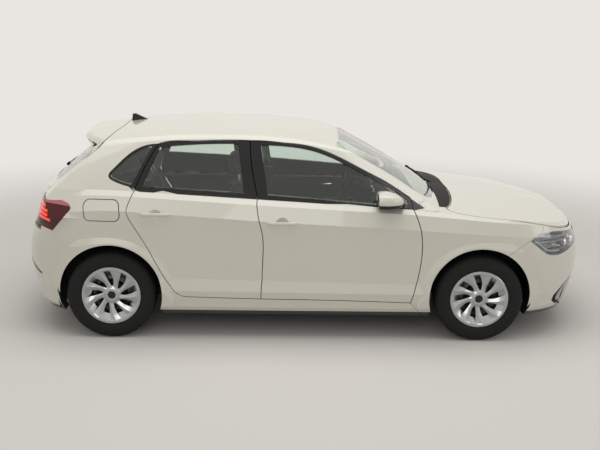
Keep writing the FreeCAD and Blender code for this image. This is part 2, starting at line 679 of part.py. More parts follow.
def wheel_cover(x, y, out, turn):
    """Snap-on cover: a turned sheet with swept windows, over a cone that closes their outer ends."""
    lip = RIM_HALF_WIDTH + 0.3
    profile = [(0, 67), (26, 67), (28, 69), (44, 68), (62, 60), (100, 64), (150, 74), (176, 82),
               (186, 88), (200, 88.5), (COVER_RADIUS - 1, 86), (COVER_RADIUS - 1, lip), (182.5, lip),
               (178, lip - 6), (150, 67), (100, 57), (62, 52), (0, 52)]
    sheet = ring_across([(r, y + out * d) for r, d in profile], x, HUB_Z)
    windows = []
    hub_y = min(y, y + out * 120)
    for i in range(COVER_BLADES):
        middle = math.radians(turn) + 2 * math.pi * i / COVER_BLADES
        sides = []
        for side in (-1, 1):
            points = []
            for r, half, sweep in ((62, 3.5, -8), (80, 8.5, -5), (110, 10, -1), (148, 8.5, 3), (186, 7, 7)):
                angle = middle + math.radians(side * half + sweep)
                points.append(V(x + r * math.cos(angle), hub_y, HUB_Z + r * math.sin(angle)))
            sides.append(points)
        edges = [Part.makeLine(sides[0][0], sides[1][0]), Part.makeLine(sides[0][-1], sides[1][-1])]
        for points in sides:
            curve = Part.BSplineCurve()
            curve.interpolate(points)
            edges.append(curve.toShape())
        windows.append(flat_face(edges).extrude(V(0, 120, 0)))
    cone = [(144, 44), (180, 77), (183, 82.4), (194, 82.4), (194, 86), (182, 85.5), (142, 49)]
    return sheet.cut(windows).fuse(ring_across([(r, y + out * d) for r, d in cone], x, HUB_Z))


def knuckle(x):
    """Right hub carrier, turning about the kingpin."""
    y, k = -FRONT_TRACK / 2, -KINGPIN_Y
    bore_radius = SPINDLE_RADIUS + PIN_PLAY
    ring = ring_across([(bore_radius, -704), (54, -704), (54, -652), (bore_radius, -652)], x, HUB_Z)
    upper = Part.makeCylinder(22, 82, V(x, k, HUB_Z + 38))
    lower = Part.makeCylinder(22, 42, V(x, k, HUB_Z - 80))
    caliper = box(x - 140, x - 96, -768, -700, HUB_Z - 45, HUB_Z + 50)
    bracket = box(x - 110, x - 30, -708, -688, HUB_Z - 30, HUB_Z + 30)
    arm = box(x - 118, x - 30, -690, -664, HUB_Z - 20, HUB_Z + 4)
    slot = ring_across([(60, -760), (133, -760), (133, -727), (60, -727)], x, HUB_Z)
    body = ring.fuse([upper, lower, bracket, arm, caliper.cut(slot)])
    bore = across(bore_radius, x, HUB_Z, -800, -600)
    pins = [Part.makeCylinder(10 + PIN_PLAY, 40, V(x, k, HUB_Z + 92)),
            Part.makeCylinder(10 + PIN_PLAY, 30, V(x, k, HUB_Z - 82))]
    return body.cut([bore] + pins)


def rod(radius, a, b):
    return Part.makeCylinder(radius, (b - a).Length, a, b - a)


def oval(x, y, z, half_y, half_z, count=12):
    """Closed smooth outline across X, fuller than an ellipse."""
    points = []
    for i in range(count):
        turn = 2 * math.pi * i / count
        c, s = math.cos(turn), math.sin(turn)
        dy = half_y * math.copysign(abs(c) ** 0.75, c)
        dz = half_z * math.copysign(abs(s) ** 0.75, s)
        points.append(V(x, y + dy, z + dz))
    curve = Part.BSplineCurve()
    curve.interpolate(points, True)
    return Part.Wire(curve.toShape())


def mirror_housing():
    """Right door mirror: a rounded cap on a short foot."""
    y = -HALF - 8
    sections = [(455, 0, 1012, 92, 54), (475, 0, 1012, 96, 58), (515, 0, 1012, 97, 60),
                (560, 2, 1009, 88, 53), (600, 6, 1004, 66, 39), (624, 10, 1000, 34, 20),
                (630, 11, 999, 12, 8)]
    cap = Part.makeLoft([oval(fx(x), y + dy, z, h, v) for x, dy, z, h, v in sections], True)
    foot = box(fx(560), fx(640), -HALF + 5, -HALF + 115, 952, 984)
    pocket = Part.makeLoft([oval(fx(x), y, 1012, 84, 46) for x in (440, 464)], True)
    return outward(cap).fuse(foot).cut(outward(pocket))


def door_handle(x):
    """Bar handle on the shoulder line, with its ends let into the door skin."""
    z = line_height("shoulder", x) - 4
    sections = []
    for along_bar, stand, half_y, half_z in (
            (-106, -5, 4, 6), (-96, 3, 7, 10), (-70, 10, 7.5, 11), (0, 12, 7.5, 11.5),
            (70, 10, 7.5, 11), (96, 3, 7, 10), (106, -5, 4, 6)):
        sections.append(oval(x + along_bar, -HALF - stand, z, half_y, half_z))
    return outward(Part.makeLoft(sections, True))


def finger_cup(x):
    """Round hollow in the door skin behind the handle."""
    reach = math.sqrt(CUP_SPHERE ** 2 - CUP_RADIUS ** 2)
    return Part.makeSphere(CUP_SPHERE, V(x, -HALF - reach, line_height("shoulder", x) + 4))


def on_screen(line, bow, y, z):
    """Point on a screen and the way that faces out of it, on either side of the car."""
    surface = sloping_face(line, bow, 0).Surface
    x = along(sorted((b, a) for a, b in line), z)
    draw_in = along(sorted((b, w) for (a, b), w in zip(line, bow)), z)
    u, v = surface.parameter(V(fx(x) + draw_in * (y / BOW_HALF_WIDTH) ** 2, -abs(y), fz(z)))
    point, normal = surface.value(u, v), surface.normal(u, v)
    if normal.z < 0:
        normal = normal * -1
    if y > 0:
        point.y, normal.y = -point.y, -normal.y
    return point, normal


def wiper(line, bow, from_y, to_y, from_z, to_z, pivot_y, pivot_z, low):
    """Blade lying on a screen, with its arm and pivot cap."""
    def strip(y0, y1, z0, z1, foot, top, half_wide):
        wires = []
        for i in range(5):
            point, normal = on_screen(line, bow, y0 + (y1 - y0) * i / 4, z0 + (z1 - z0) * i / 4)
            slope = normal.cross(V(0, 1, 0)).normalize()
            section = ((-half_wide, foot), (half_wide, foot), (half_wide, top), (-half_wide, top))
            corners = [point + slope * a + normal * b for a, b in section]
            wires.append(Part.makePolygon(corners + corners[:1]))
        return outward(Part.makeLoft(wires, True, True))

    blade = strip(from_y, to_y, from_z, to_z, low, low + 11, 4)
    arm = strip(pivot_y, (from_y + to_y) / 2, pivot_z, (from_z + to_z) / 2, low + 9, low + 15, 6)
    point, normal = on_screen(line, bow, pivot_y, pivot_z)
    return blade.fuse([arm, rod(15, point + normal * low, point + normal * (low + 20))])


def rounded_box(x0, x1, y0, y1, z0, z1, radius, lean=0.0):
    """Box with every edge rounded, leaning back by an angle about its lower front edge."""
    shape = box(x0, x1, y0, y1, z0, z1)
    shape = shape.makeFillet(radius, shape.Edges)
    shape.rotate(V(x1, y0, z0), V(0, 1, 0), lean)
    return shape


def profile_across(points, y0, y1):
    """Side-view polygon carried across the car."""
    wire = Part.makePolygon([V(x, y0, z) for x, z in points + points[:1]])
    return outward(Part.Face(wire).extrude(V(0, y1 - y0, 0)))


SEAT_Y = 355.0
WHEEL_TILT = 25.0


def front_seat(y):
    cushion = rounded_box(fx(-330), fx(180), y - 250, y + 250, 430, 570, 45)
    base = box(fx(-280), fx(120), y - 200, y + 200, 330, 470)
    back = rounded_box(fx(-430), fx(-300), y - 240, y + 240, 520, 1090, 50, -14)
    post = rounded_box(fx(-530), fx(-500), y - 60, y + 60, 1040, 1150, 12)
    head = rounded_box(fx(-570), fx(-470), y - 130, y + 130, 1085, 1245, 42)
    return cushion.fuse([base, back, post, head])


def rear_bench():
    cushion = rounded_box(fx(-1060), fx(-600), -575, 575, 430, 570, 45)
    base = box(fx(-940), fx(-660), -540, 540, 330, 470)
    back = rounded_box(fx(-1150), fx(-1030), -560, 560, 500, 1000, 45, -16)
    parts = [base, back]
    for y in (-370, 370):
        parts.append(rounded_box(fx(-1320), fx(-1225), y - 125, y + 125, 990, 1110, 38))
        parts.append(box(fx(-1285), fx(-1260), y - 50, y + 50, 930, 1050))
    return cushion.fuse(parts)


def steering_column(length_from, length_to, radius):
    """Cylinder along the column axis, measured from the centre of the wheel's hub."""
    turn = math.radians(WHEEL_TILT)
    ahead = V(math.cos(turn), 0, -math.sin(turn))
    centre = V(fx(330), SEAT_Y, 905)
    return Part.makeCylinder(radius, length_to - length_from, centre + ahead * length_from, ahead)


def steering_wheel():
    turn = math.radians(WHEEL_TILT)
    ahead = V(math.cos(turn), 0, -math.sin(turn))
    up = V(math.sin(turn), 0, math.cos(turn))
    centre = V(fx(330), SEAT_Y, 905)
    rim = Part.makeTorus(172, 14, centre, ahead)
    hub = steering_column(-24, 30, 58).cut(steering_column(4, 40, 12.5))
    spokes = []
    for angle in (0, 180, 270):
        side = V(0, 1, 0) * math.cos(math.radians(angle)) + up * math.sin(math.radians(angle))
        spokes.append(Part.makeCylinder(13, 172, centre, side).cut(steering_column(4, 40, 12.5)))
    return rim.fuse([hub] + spokes)


if __name__ == "__main__":
    os.makedirs("parts", exist_ok=True)
    half_gap = PANEL_GAP / 2
    top = greenhouse()
    low = lower_body()
    skin = low.fuse(top)
    inner_top = greenhouse(FRAME_DEPTH)
    glass_band = greenhouse(GLASS_INSET).cut(greenhouse(GLASS_INSET + GLASS_THICKNESS))
    under_bonnet = lower_body(BONNET_DEPTH)
    below_bonnet = lower_body(BONNET_DEPTH + 10)
    inside = lower_body(WING_DEPTH)
    door_wall = HALF - DOOR_DEPTH - 20
    cabin = inner_top.fuse(box(TAIL_X, NOSE_X, -door_wall, 0, 330, 905))
    cabin = cabin.common(side_prism(CABIN_PROFILE, 0, -1100, 0))
    arch_z = HUB_Z + ARCH_RISE
    cabin = cabin.cut(across(INNER_ARCH_RADIUS + 12, REAR_AXLE_X, arch_z, -1100, -588))

    # Wheel arches with their raised lips
    above_sill = box(TAIL_X, NOSE_X, -HALF, 0, FLOOR_Z, 1000)
    raised = lower_body(-ARCH_LIP)
    arches = []
    lip_profile = [(320, -800), (320, -HALF + 1), (366, -HALF + 1), (440, -HALF + 22), (440, -800)]
    for x, depth in ((FRONT_AXLE_X, -470), (REAR_AXLE_X, -600)):
        lip = ring_across(lip_profile, x, arch_z)
        skin = skin.fuse(lip.common(above_sill).common(raised))
        arches.append(across(ARCH_RADIUS, x, arch_z, -1100, depth))
        arches.append(across(INNER_ARCH_RADIUS, x, arch_z, -815, depth))
    skin = skin.cut(arches)
    outer_layer = skin.cut(inside)

    # Doors
    lining = box(TAIL_X, NOSE_X, -door_wall - PANEL_GAP, 0, 0, 905)
    sill_inner = box(TAIL_X, NOSE_X, -door_wall, 0, 0, 330)
    panes = {"front": side_prism(FRONT_GLASS), "rear": side_prism(REAR_GLASS)}
    holes = []
    for name, runs, slants, handle_x in (("front", FRONT_DOOR, slant_front_door, fx(-184)),
                                         ("rear", REAR_DOOR, slant_rear_door, fx(-1040))):
        door = skin.common(door_prism(runs, -half_gap, slants)).cut([cabin, lining, panes[name]])
        door = door.cut(finger_cup(handle_x)).fuse(door_handle(handle_x))
        glass = glass_band.common(panes[name])
        for side, turned in (("right", False), ("left", True)):
            save(name + "_door_" + side, mirrored(door) if turned else door)
            save(name + "_door_glass_" + side, mirrored(glass) if turned else glass)
        holes.append(door_prism(runs, half_gap, slants).cut(sill_inner))
    mirror = mirror_housing().cut(top).cut(low)
    save("mirror_right", mirror)
    save("mirror_left", mirrored(mirror))
    quarter_pane = side_prism(QUARTER_GLASS)
    quarter_glass = glass_band.common(quarter_pane)
    trim_zone = side_prism(QUARTER_GLASS, 13).fuse(side_prism(SAIL_PANEL, -1))
    trim_zone = trim_zone.cut(door_prism(REAR_DOOR, half_gap, slant_rear_door))
    behind_glass = greenhouse(GLASS_INSET + GLASS_THICKNESS)
    trim = skin.cut([behind_glass, lower_body(9), quarter_pane]).common(trim_zone)
    save("window_trims", pair(trim))
    print("doors done")

    # Tailgate with its window and lamps
    zones = []
    for grow in (0, PANEL_GAP):
        zone = rear_prism(TAILGATE, grow - half_gap, -2200, -1200).common(plan_prism(TAILGATE_PLAN, grow))
        front_face = sloping_face(REAR_LINE, REAR_BOW, GATE_DEPTH + 1.35 * grow)
        behind = outward(front_face.extrude(V(-4500, 0, 0)))
        behind = behind.common(box(TAIL_X - 100, NOSE_X, -HALF, 100, 990 - grow, 1600))
        low_slab = side_prism(TAILGATE_SLAB, grow, -1100, 100)
        zones.append(zone.common(behind.fuse([low_slab, side_prism(TAILGATE_TOP, grow, -1100, 100)])))
    gate_zone, gate_hole = zones
    rear_pane = rear_prism(REAR_WINDOW, 0, -2200, -1350)
    rear_opening = rear_prism(REAR_WINDOW, -SEAL_WIDTH, -2200, -1350)
    rebate = rear_pane.cut(behind_glass)
    glass_outside = both(greenhouse(GLASS_INSET))
    gate_lamp_zone = rear_prism(TAILGATE_LAMP, 0, -2200, -1600)
    gate = skin.fuse(spoiler_lip()).common(gate_zone).cut(cabin)
    gate_lamp = gate.common(gate_lamp_zone).cut(inside)
    save("tailgate", both(gate.cut([rear_opening, rebate, gate_lamp])))
    save("tailgate_lamps", pair(gate_lamp))
    save("rear_window", both(glass_band.common(rear_pane)))
    rear_wiper = wiper(REAR_LINE, REAR_BOW, 30, 380, 1102, 1118, 0, 1078, -GLASS_INSET - 3)
    save("rear_wiper", rear_wiper.cut(glass_outside))

    # Bonnet
    above = box(TAIL_X, NOSE_X, -HALF, 10, 690, 1100)
    flange = lower_body(BONNET_FLANGE)
    bonnet = low.cut(flange).common(plan_prism(BONNET, -BONNET_GAP / 2, 690))
    frame = flange.cut(under_bonnet).common(plan_prism(BONNET, -BONNET_GAP / 2 - 10, 690))
    bonnet = bonnet.fuse(frame).cut(arches)
    save("bonnet", both(bonnet))
    bonnet_hole = low.cut(below_bonnet).common(plan_prism(BONNET, BONNET_GAP / 2, 690))

    # Lamps, flap, bumpers, wings and grilles
    lamp = outer_layer.common(side_prism(HEADLAMP, -1, -1100, -430)).cut(bonnet_hole)
    lens = lamp.cut(lower_body(LENS_THICKNESS))
    cavity = side_prism(HEADLAMP, -9, -1100, -442).common(lower_body(LENS_THICKNESS)).cut(lower_body(44))
    for z in (640, 700):
        blade = lower_body(12).cut(lower_body(30)).common(box(fx(1500), NOSE_X, -HALF, -430, z, z + 9))
        cavity = cavity.cut(blade)
    save("headlamps", pair(lens))
    save("headlamp_housings", pair(lamp.cut([lens, cavity])))
    tail = outer_layer.common(side_prism(REAR_LAMP, -1, -1100, -420)).cut(gate_hole)
    flap_zone = side_prism(FUEL_FLAP, -half_gap, -1100, -780)
    flap = skin.cut(lower_body(9)).common(flap_zone)
    save("fuel_flap", flap)
    flap_hole = side_prism(FUEL_FLAP, half_gap, -1100, -HALF + 78)

    bumper_zone = side_prism(FRONT_BUMPER, -1, -1100, 100)
    upper_grille_zone = box(fx(1850), NOSE_X + 50, -424, 100, 664, 738)
    intake_centre = box(fx(1850), NOSE_X + 50, -470, 100, 212, 395)
    intake_side = side_prism(SIDE_INTAKE, 0, -1100, -560)
    width, height = PLATE
    plate_top = FRONT_PLATE_Z + height
    recess = box(NOSE_X - 18, NOSE_X + 20, -width / 2 - 2, 100, FRONT_PLATE_Z - 2, plate_top + 2)
    bumper = outer_layer.common(bumper_zone).cut([intake_centre, intake_side, lamp])
    bumper = bumper.cut([upper_grille_zone, recess])
    save("front_bumper", both(bumper))
    recessed = lower_body(18)
    inserts = outer_layer.common(recessed).common(bumper_zone)
    bars = [box(fx(1850), NOSE_X, -470, 0, z, z + 11) for z in (240, 280, 320, 360)]
    bars = outer_layer.common(lower_body(5)).common(intake_centre).common(Part.makeCompound(bars))
    centre_insert = inserts.common(intake_centre).fuse(bars)
    slats = box(fx(1850), NOSE_X + 50, -424, 100, 694, 708)
    upper = outer_layer.common(upper_grille_zone)
    grille_parts = [centre_insert, inserts.common(intake_side),
                    upper.common(lower_body(14)).fuse(upper.common(lower_body(3)).common(slats))]

    rear_zone = side_prism(REAR_BUMPER, -1, -1100, 100)
    reflector_zone = side_prism(REFLECTOR, 0, -1100, -560)
    diffuser_zone = box(TAIL_X - 50, fx(-1900), -600, 100, 0, 300)
    plate_top = REAR_PLATE_Z + height
    rear_recess = box(TAIL_X - 20, TAIL_X + 16, -width / 2 - 2, 100, REAR_PLATE_Z - 2, plate_top + 2)
    rear_bumper = outer_layer.common(rear_zone).cut([gate_hole, reflector_zone, diffuser_zone])
    rear_bumper = rear_bumper.cut([tail, rear_recess])
    plates = [box(NOSE_X - 18, NOSE_X - 15, -width / 2, width / 2, FRONT_PLATE_Z, FRONT_PLATE_Z + height),
              box(TAIL_X + 13, TAIL_X + 16, -width / 2, width / 2, REAR_PLATE_Z, REAR_PLATE_Z + height)]
    save("blank_plates", Part.makeCompound(plates))
    save("rear_bumper", both(rear_bumper))
    rear_layer = outer_layer.common(rear_zone)
    reflector = rear_layer.cut(lower_body(14)).common(reflector_zone)
    save("tail_lamps", pair(Part.makeCompound([tail, reflector])))
    grille_parts.append(rear_layer.common(lower_body(8)).common(diffuser_zone))
    save("grilles_and_diffuser", Part.makeCompound([s for g in grille_parts for s in both(g).Solids]))

    wing = outer_layer.common(side_prism(FRONT_WING, -1, -1100, -690))
    wing = wing.cut([bonnet_hole, lamp, holes[0], trim])
    save("front_wings", pair(wing))
    cowl = low.cut([inside, top, wing]).common(plan_prism(COWL, 0, 800))
    save("cowl", both(cowl))
    screen_zone = rear_prism(WINDSCREEN, 0, 1100, 190)
    save("fixed_glass", Part.makeCompound([both(glass_band.common(screen_zone)), pair(quarter_glass)]))

    # Shell: what is left of the whole form
    bay = below_bonnet.common(plan_prism(ENGINE_BAY, 0, 290))
    underfloor = box(fx(-1700), fx(1700), -640, 10, 0, FLOOR_Z).fuse(
        box(fx(-1900), fx(-1020), -640, 10, 0, REAR_FLOOR_Z))
    shell = skin.cut([cabin, bay, underfloor, quarter_pane, gate_hole, bonnet_hole] + holes)
    shell = shell.cut([side_prism(FRONT_WING, 1, -1100, -690).cut(inside), lamp, tail, cowl, trim])
    shell = shell.cut([zone.cut(inside) for zone in (bumper_zone, rear_zone, upper_grille_zone)])
    shell = shell.cut(screen_zone)
    print("shell", shell.isValid(), [round(x.Volume / 1e6) for x in shell.Solids])
    shell = max(shell.Solids, key=lambda x: x.Volume)
    shell = shell.cut(across(30, FRONT_AXLE_X, HUB_Z, -600, -300))
    post = side_prism(B_PILLAR, 0, -1100, 0)
    pillar = greenhouse(FRAME_DEPTH + 8).cut(greenhouse(FRAME_DEPTH + 48)).common(post)
    bow = greenhouse(FRAME_DEPTH - 4).cut(greenhouse(FRAME_DEPTH + 48)).common(post)
    bow = bow.common(box(TAIL_X, NOSE_X, -HALF, 0, 1368, 1500))
    foot = box(fx(-410), fx(-270), -door_wall, -door_wall + 60, 320, 950)
    shell = shell.fuse([pillar, bow, foot])
    whole_shell = shell.cut(flap_hole).fuse(mirrored(shell))
    save("body_shell", whole_shell)
    wipers = [wiper(SCREEN_LINE, SCREEN_BOW, -60, -585, 978, 1000, 40, 966, -GLASS_INSET - 3),
              wiper(SCREEN_LINE, SCREEN_BOW, 545, 30, 996, 986, 585, 986, -GLASS_INSET - 3)]
    save("wipers", Part.makeCompound(wipers).cut([both(cowl), both(wing), glass_outside, whole_shell]))

    # Wheels
    for end, x, track in (("front", FRONT_AXLE_X, FRONT_TRACK), ("rear", REAR_AXLE_X, REAR_TRACK)):
        pieces = (("tyre", tyre(x, -track / 2)), ("wheel", wheel(x, -track / 2, -1)),
                  ("wheel_cover", wheel_cover(x, -track / 2, -1, WINDOW_TURN[end])))
        for what, shape in pieces:
            save(what + "_" + end + "_right", shape)
            save(what + "_" + end + "_left", mirrored(shape))
    carrier = knuckle(FRONT_AXLE_X)
    save("knuckle_right", carrier)
    save("knuckle_left", mirrored(carrier))

    # Struts, lower arms, driveshafts and front cross-member
    x, k = FRONT_AXLE_X, -KINGPIN_Y
    strut = rod(22, V(x, k + 4, HUB_Z + 136), V(x, k + 115, HUB_Z + 420))
    spring = rod(48, V(x, k + 62, HUB_Z + 282), V(x, k + 115, HUB_Z + 420))
    pin = Part.makeCylinder(10, 44, V(x, k, HUB_Z + 96))
    struts = pair(strut.fuse([spring, pin]).cut(shell))
    arm = box(x - 28, x + 28, k - 10, -300, 186, 204).fuse(Part.makeCylinder(28, 18, V(x, k, 186)))
    ball = Part.makeCylinder(10, 46, V(x, k, 190))
    member = box(x - 150, x + 90, -430, 0, 180, FLOOR_Z).cut(box(x - 90, x + 40, -300, 0, 170, 205))
    save("front_suspension", Part.makeCompound([struts, both(member.fuse([arm, ball]))]))
    block = box(fx(900), fx(1380), -380, 0, 290, 790)
    mount = box(fx(1000), fx(1100), -445, -370, 560, 620)
    shaft = rod(12, V(x, -370, HUB_Z), V(x, k, HUB_Z)).fuse(Part.makeSphere(14, V(x, k, HUB_Z)))
    save("engine_block", both(block.fuse([mount, shaft.cut(block)])))

    # Rear twist beam with its stub axles
    x = REAR_AXLE_X
    beam = box(x + 150, x + 240, -600, 0, 262, REAR_FLOOR_Z).cut(box(x + 165, x + 225, -600, 0, 250, 320))
    trailing = box(x - 40, x + 330, -625, -575, HUB_Z - 60, HUB_Z)
    stub = ring_across([(0, -600), (60, -600), (60, -700), (SPINDLE_RADIUS + PIN_PLAY, -700),
                        (SPINDLE_RADIUS + PIN_PLAY, -660), (0, -660)], x, HUB_Z)
    save("rear_axle", both(beam.fuse([trailing, stub])))

    # Inside the cabin
    save("front_seats", Part.makeCompound([front_seat(-SEAT_Y), front_seat(SEAT_Y)]))
    save("rear_seat", rear_bench().cut(both(shell)))
    dash = [(789, 560), (789, 925), (740, 948), (560, 930), (500, 890), (505, 760), (600, 620), (690, 560)]
    dash = profile_across([(fx(x), z) for x, z in dash], -690, 690)
    console = box(fx(-150), fx(640), -100, 100, 330, 620)
    column = steering_column(40, 330, 34).fuse(steering_column(10, 45, 12))
    save("dashboard", dash.fuse([console, column]))
    save("steering_wheel", steering_wheel())

    # Small outside pieces
    fin = [(-1318, 1404), (-1195, 1424), (-1225, 1436), (-1290, 1466), (-1312, 1464)]
    antenna = profile_across([(fx(x), fz(z)) for x, z in fin], -14, 14).cut(both(top))
    save("antenna", max(antenna.Solids, key=lambda x: x.Volume))
    tank = box(fx(-1060), fx(-560), 20, 560, 176, FLOOR_Z)
    save("fuel_tank", tank.makeFillet(25, [e for e in tank.Edges if e.BoundBox.ZMax < FLOOR_Z - 1]))
    bend = V(fx(-1010), -80, 205)
    pipe = rod(26, V(fx(940), -80, 205), bend)
    pipe = pipe.fuse([Part.makeSphere(26, bend), rod(26, bend, V(fx(-1690), -80, 240))])
    silencer = box(fx(-1880), fx(-1670), -300, 260, 205, 325)
    silencer = silencer.makeFillet(35, [e for e in silencer.Edges if e.BoundBox.YLength > 100])
    hanger = box(fx(-1790), fx(-1770), -20, 0, 320, REAR_FLOOR_Z)
    save("exhaust", pipe.fuse([silencer, hanger]).cut(both(beam)))
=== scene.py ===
"""Studio scene for the five-door hatchback: paint, glass, rubber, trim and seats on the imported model."""
import math

import bmesh
import bpy
import numpy as np
from mathutils import Matrix, Vector
from mathutils.bvhtree import BVHTree


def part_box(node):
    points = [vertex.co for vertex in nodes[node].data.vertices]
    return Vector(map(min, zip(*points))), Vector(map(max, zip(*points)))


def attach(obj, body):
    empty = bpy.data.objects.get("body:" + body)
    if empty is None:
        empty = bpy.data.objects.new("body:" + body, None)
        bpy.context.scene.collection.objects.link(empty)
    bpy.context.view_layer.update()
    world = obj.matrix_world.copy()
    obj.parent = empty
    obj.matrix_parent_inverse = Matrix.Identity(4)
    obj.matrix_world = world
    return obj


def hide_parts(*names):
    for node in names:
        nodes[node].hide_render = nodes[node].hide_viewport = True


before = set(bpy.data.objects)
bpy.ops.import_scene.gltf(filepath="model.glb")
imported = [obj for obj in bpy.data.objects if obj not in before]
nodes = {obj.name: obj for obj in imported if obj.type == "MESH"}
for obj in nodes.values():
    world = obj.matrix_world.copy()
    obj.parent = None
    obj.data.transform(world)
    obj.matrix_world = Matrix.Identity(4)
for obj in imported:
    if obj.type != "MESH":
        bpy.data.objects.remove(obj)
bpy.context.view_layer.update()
scene = bpy.context.scene

MM = 0.001
SIDES = (("right", -1), ("left", 1))
ENDS = ("front", "rear")


def centre(name):
    """Middle of a CAD node."""
    low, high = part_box(name)
    return (low + high) / 2


def vectors(items, attribute):
    """A vector attribute of a mesh's points or faces, one row for each."""
    found = np.zeros(len(items) * 3, np.float32)
    items.foreach_get(attribute, found)
    return found.reshape(-1, 3)


def along(table, x, column=1):
    """A table's column at x, on straight lines between its rows."""
    return np.interp(x, [row[0] for row in table], [row[column] for row in table])


def within(values, limits):
    """Which values lie between two limits."""
    return (values > limits[0]) & (values < limits[1])


def linked(name, data):
    """A new object in the scene."""
    obj = bpy.data.objects.new(name, data)
    scene.collection.objects.link(obj)
    return obj


AXLE_X = {end: centre("tyre_" + end + "_right").x for end in ENDS}
HUB_Z = centre("tyre_front_right").z
# Half the car's width without its mirrors, in metres
HALF_WIDTH = 0.8755

# Finishes


def linear(hex_colour):
    """An sRGB hex colour as linear RGBA."""
    channels = [int(hex_colour[i:i + 2], 16) / 255 for i in (1, 3, 5)]
    return [c / 12.92 if c <= 0.04045 else ((c + 0.055) / 1.055) ** 2.4 for c in channels] + [1.0]


def node(tree, kind, inputs=None, **settings):
    """Adds a node with its settings; an input is a value, or a (node, output) pair to link."""
    made = tree.nodes.new(kind)
    for name, value in settings.items():
        setattr(made, name, value)
    for socket, value in (inputs or {}).items():
        if isinstance(value, tuple) and hasattr(value[0], "outputs"):
            tree.links.new(value[0].outputs[value[1]], made.inputs[socket])
        else:
            made.inputs[socket].default_value = value
    return made


def blank(name):
    """A new material with nothing in its node tree, and that tree."""
    material = bpy.data.materials.new(name)
    material.use_nodes = True
    material.node_tree.nodes.clear()
    return material, material.node_tree


def shade(tree, inputs):
    """Closes a material with the main shader."""
    shader = node(tree, "ShaderNodeBsdfPrincipled", inputs)
    node(tree, "ShaderNodeOutputMaterial", {"Surface": (shader, "BSDF")})


def two_tone(tree, dark, pale, factor):
    """Colour between two hex colours, driven by a (node, output) pair."""
    ramp = node(tree, "ShaderNodeValToRGB", {"Fac": factor})
    ramp.color_ramp.elements[0].color = linear(dark)
    ramp.color_ramp.elements[1].color = linear(pale)
    return ramp


def grain(tree, size_mm, depth_mm, place, detail=2.0, kind="ShaderNodeTexNoise"):
    """Noise of a real grain size, and the bump it gives."""
    settings = {"Vector": (place, "Object"), "Scale": 1000 / size_mm}
    if kind == "ShaderNodeTexNoise":
        settings["Detail"] = detail
    noise = node(tree, kind, settings)
    output = "Fac" if kind == "ShaderNodeTexNoise" else "Distance"
    bump = node(tree, "ShaderNodeBump", {"Height": (noise, output), "Distance": depth_mm * MM,
                                         "Strength": 1.0})
    return noise, bump


# Height below which the sill's foot is drawn near-black, and the line where felt lining takes over from dark
# trim, in metres
PAINT_FOOT, LINING_FOOT = 0.204, 1.06


def above(tree, place, height):
    """1 above a height and 0 below it."""
    parts = node(tree, "ShaderNodeSeparateXYZ", {0: (place, "Object")})
    return node(tree, "ShaderNodeMath", {0: (parts, "Z"), 1: height}, operation="GREATER_THAN")


def clearcoat_paint():
    """Solid grey-beige car paint under clear lacquer: even colour, sharp reflections, faint orange peel,
    and a black foot along the sills."""
    material, tree = blank("grey_beige_paint_under_clearcoat")
    place = node(tree, "ShaderNodeTexCoord")
    _, bump = grain(tree, 9, 0.006, place, 1.0)
    cloud, _ = grain(tree, 600, 0, place)
    colour = two_tone(tree, "#c9c6ba", "#cdcabf", (cloud, "Fac"))
    painted = node(tree, "ShaderNodeMix", {0: (above(tree, place, PAINT_FOOT), "Value"), 6: linear("#121212"),
                                           7: (colour, "Color")}, data_type="RGBA")
    shade(tree, {
        "Base Color": (painted, 2), "Roughness": 0.42, "IOR": 1.5, "Coat Weight": 1.0,
        "Coat Roughness": 0.03, "Coat IOR": 1.5, "Coat Normal": (bump, "Normal")})
    return material


def plastic(name, dark, pale, roughness, grain_mm, depth_mm):
    """Moulded plastic with a fine leather-like grain: soft sheen, slightly uneven."""
    material, tree = blank(name)
    place = node(tree, "ShaderNodeTexCoord")
    _, bump = grain(tree, grain_mm, depth_mm, place, kind="ShaderNodeTexVoronoi")
    cloud, _ = grain(tree, 60, 0, place)
    colour = two_tone(tree, dark, pale, (cloud, "Fac"))
    rough = node(tree, "ShaderNodeMapRange", {"Value": (cloud, "Fac"), "To Min": roughness - 0.06,
                                              "To Max": roughness + 0.06})
    shade(tree, {"Base Color": (colour, "Color"), "Roughness": (rough, "Result"), "IOR": 1.5,
                 "Specular IOR Level": 0.15, "Normal": (bump, "Normal")})
    return material


def gloss(name, dark, pale, roughness, coat=0.0, metallic=0.0, wave_mm=25, depth_mm=0.01, specular=0.5):
    """Smooth moulded, lacquered or metallised surface with faint waves in its gloss."""
    material, tree = blank(name)
    place = node(tree, "ShaderNodeTexCoord")
    wave, bump = grain(tree, wave_mm, depth_mm, place, 1.0)
    colour = two_tone(tree, dark, pale, (wave, "Fac"))
    shade(tree, {"Base Color": (colour, "Color"), "Roughness": roughness, "Metallic": metallic,
                 "Specular IOR Level": specular, "Coat Weight": coat, "Coat Roughness": 0.04,
                 "Normal": (bump, "Normal")})
    return material


def clear_sheet(name, dark, pale, wave_mm, depth_mm, ior):
    """Clear pane: tinted right through, with a faint wave in its surface."""
    material, tree = blank(name)
    place = node(tree, "ShaderNodeTexCoord")
    wave, bump = grain(tree, wave_mm, depth_mm, place, 0.0)
    tint = two_tone(tree, dark, pale, (wave, "Fac"))
    shade(tree, {"Base Color": (tint, "Color"), "Roughness": 0.0, "IOR": ior, "Transmission Weight": 1.0,
                 "Normal": (bump, "Normal")})
    return material


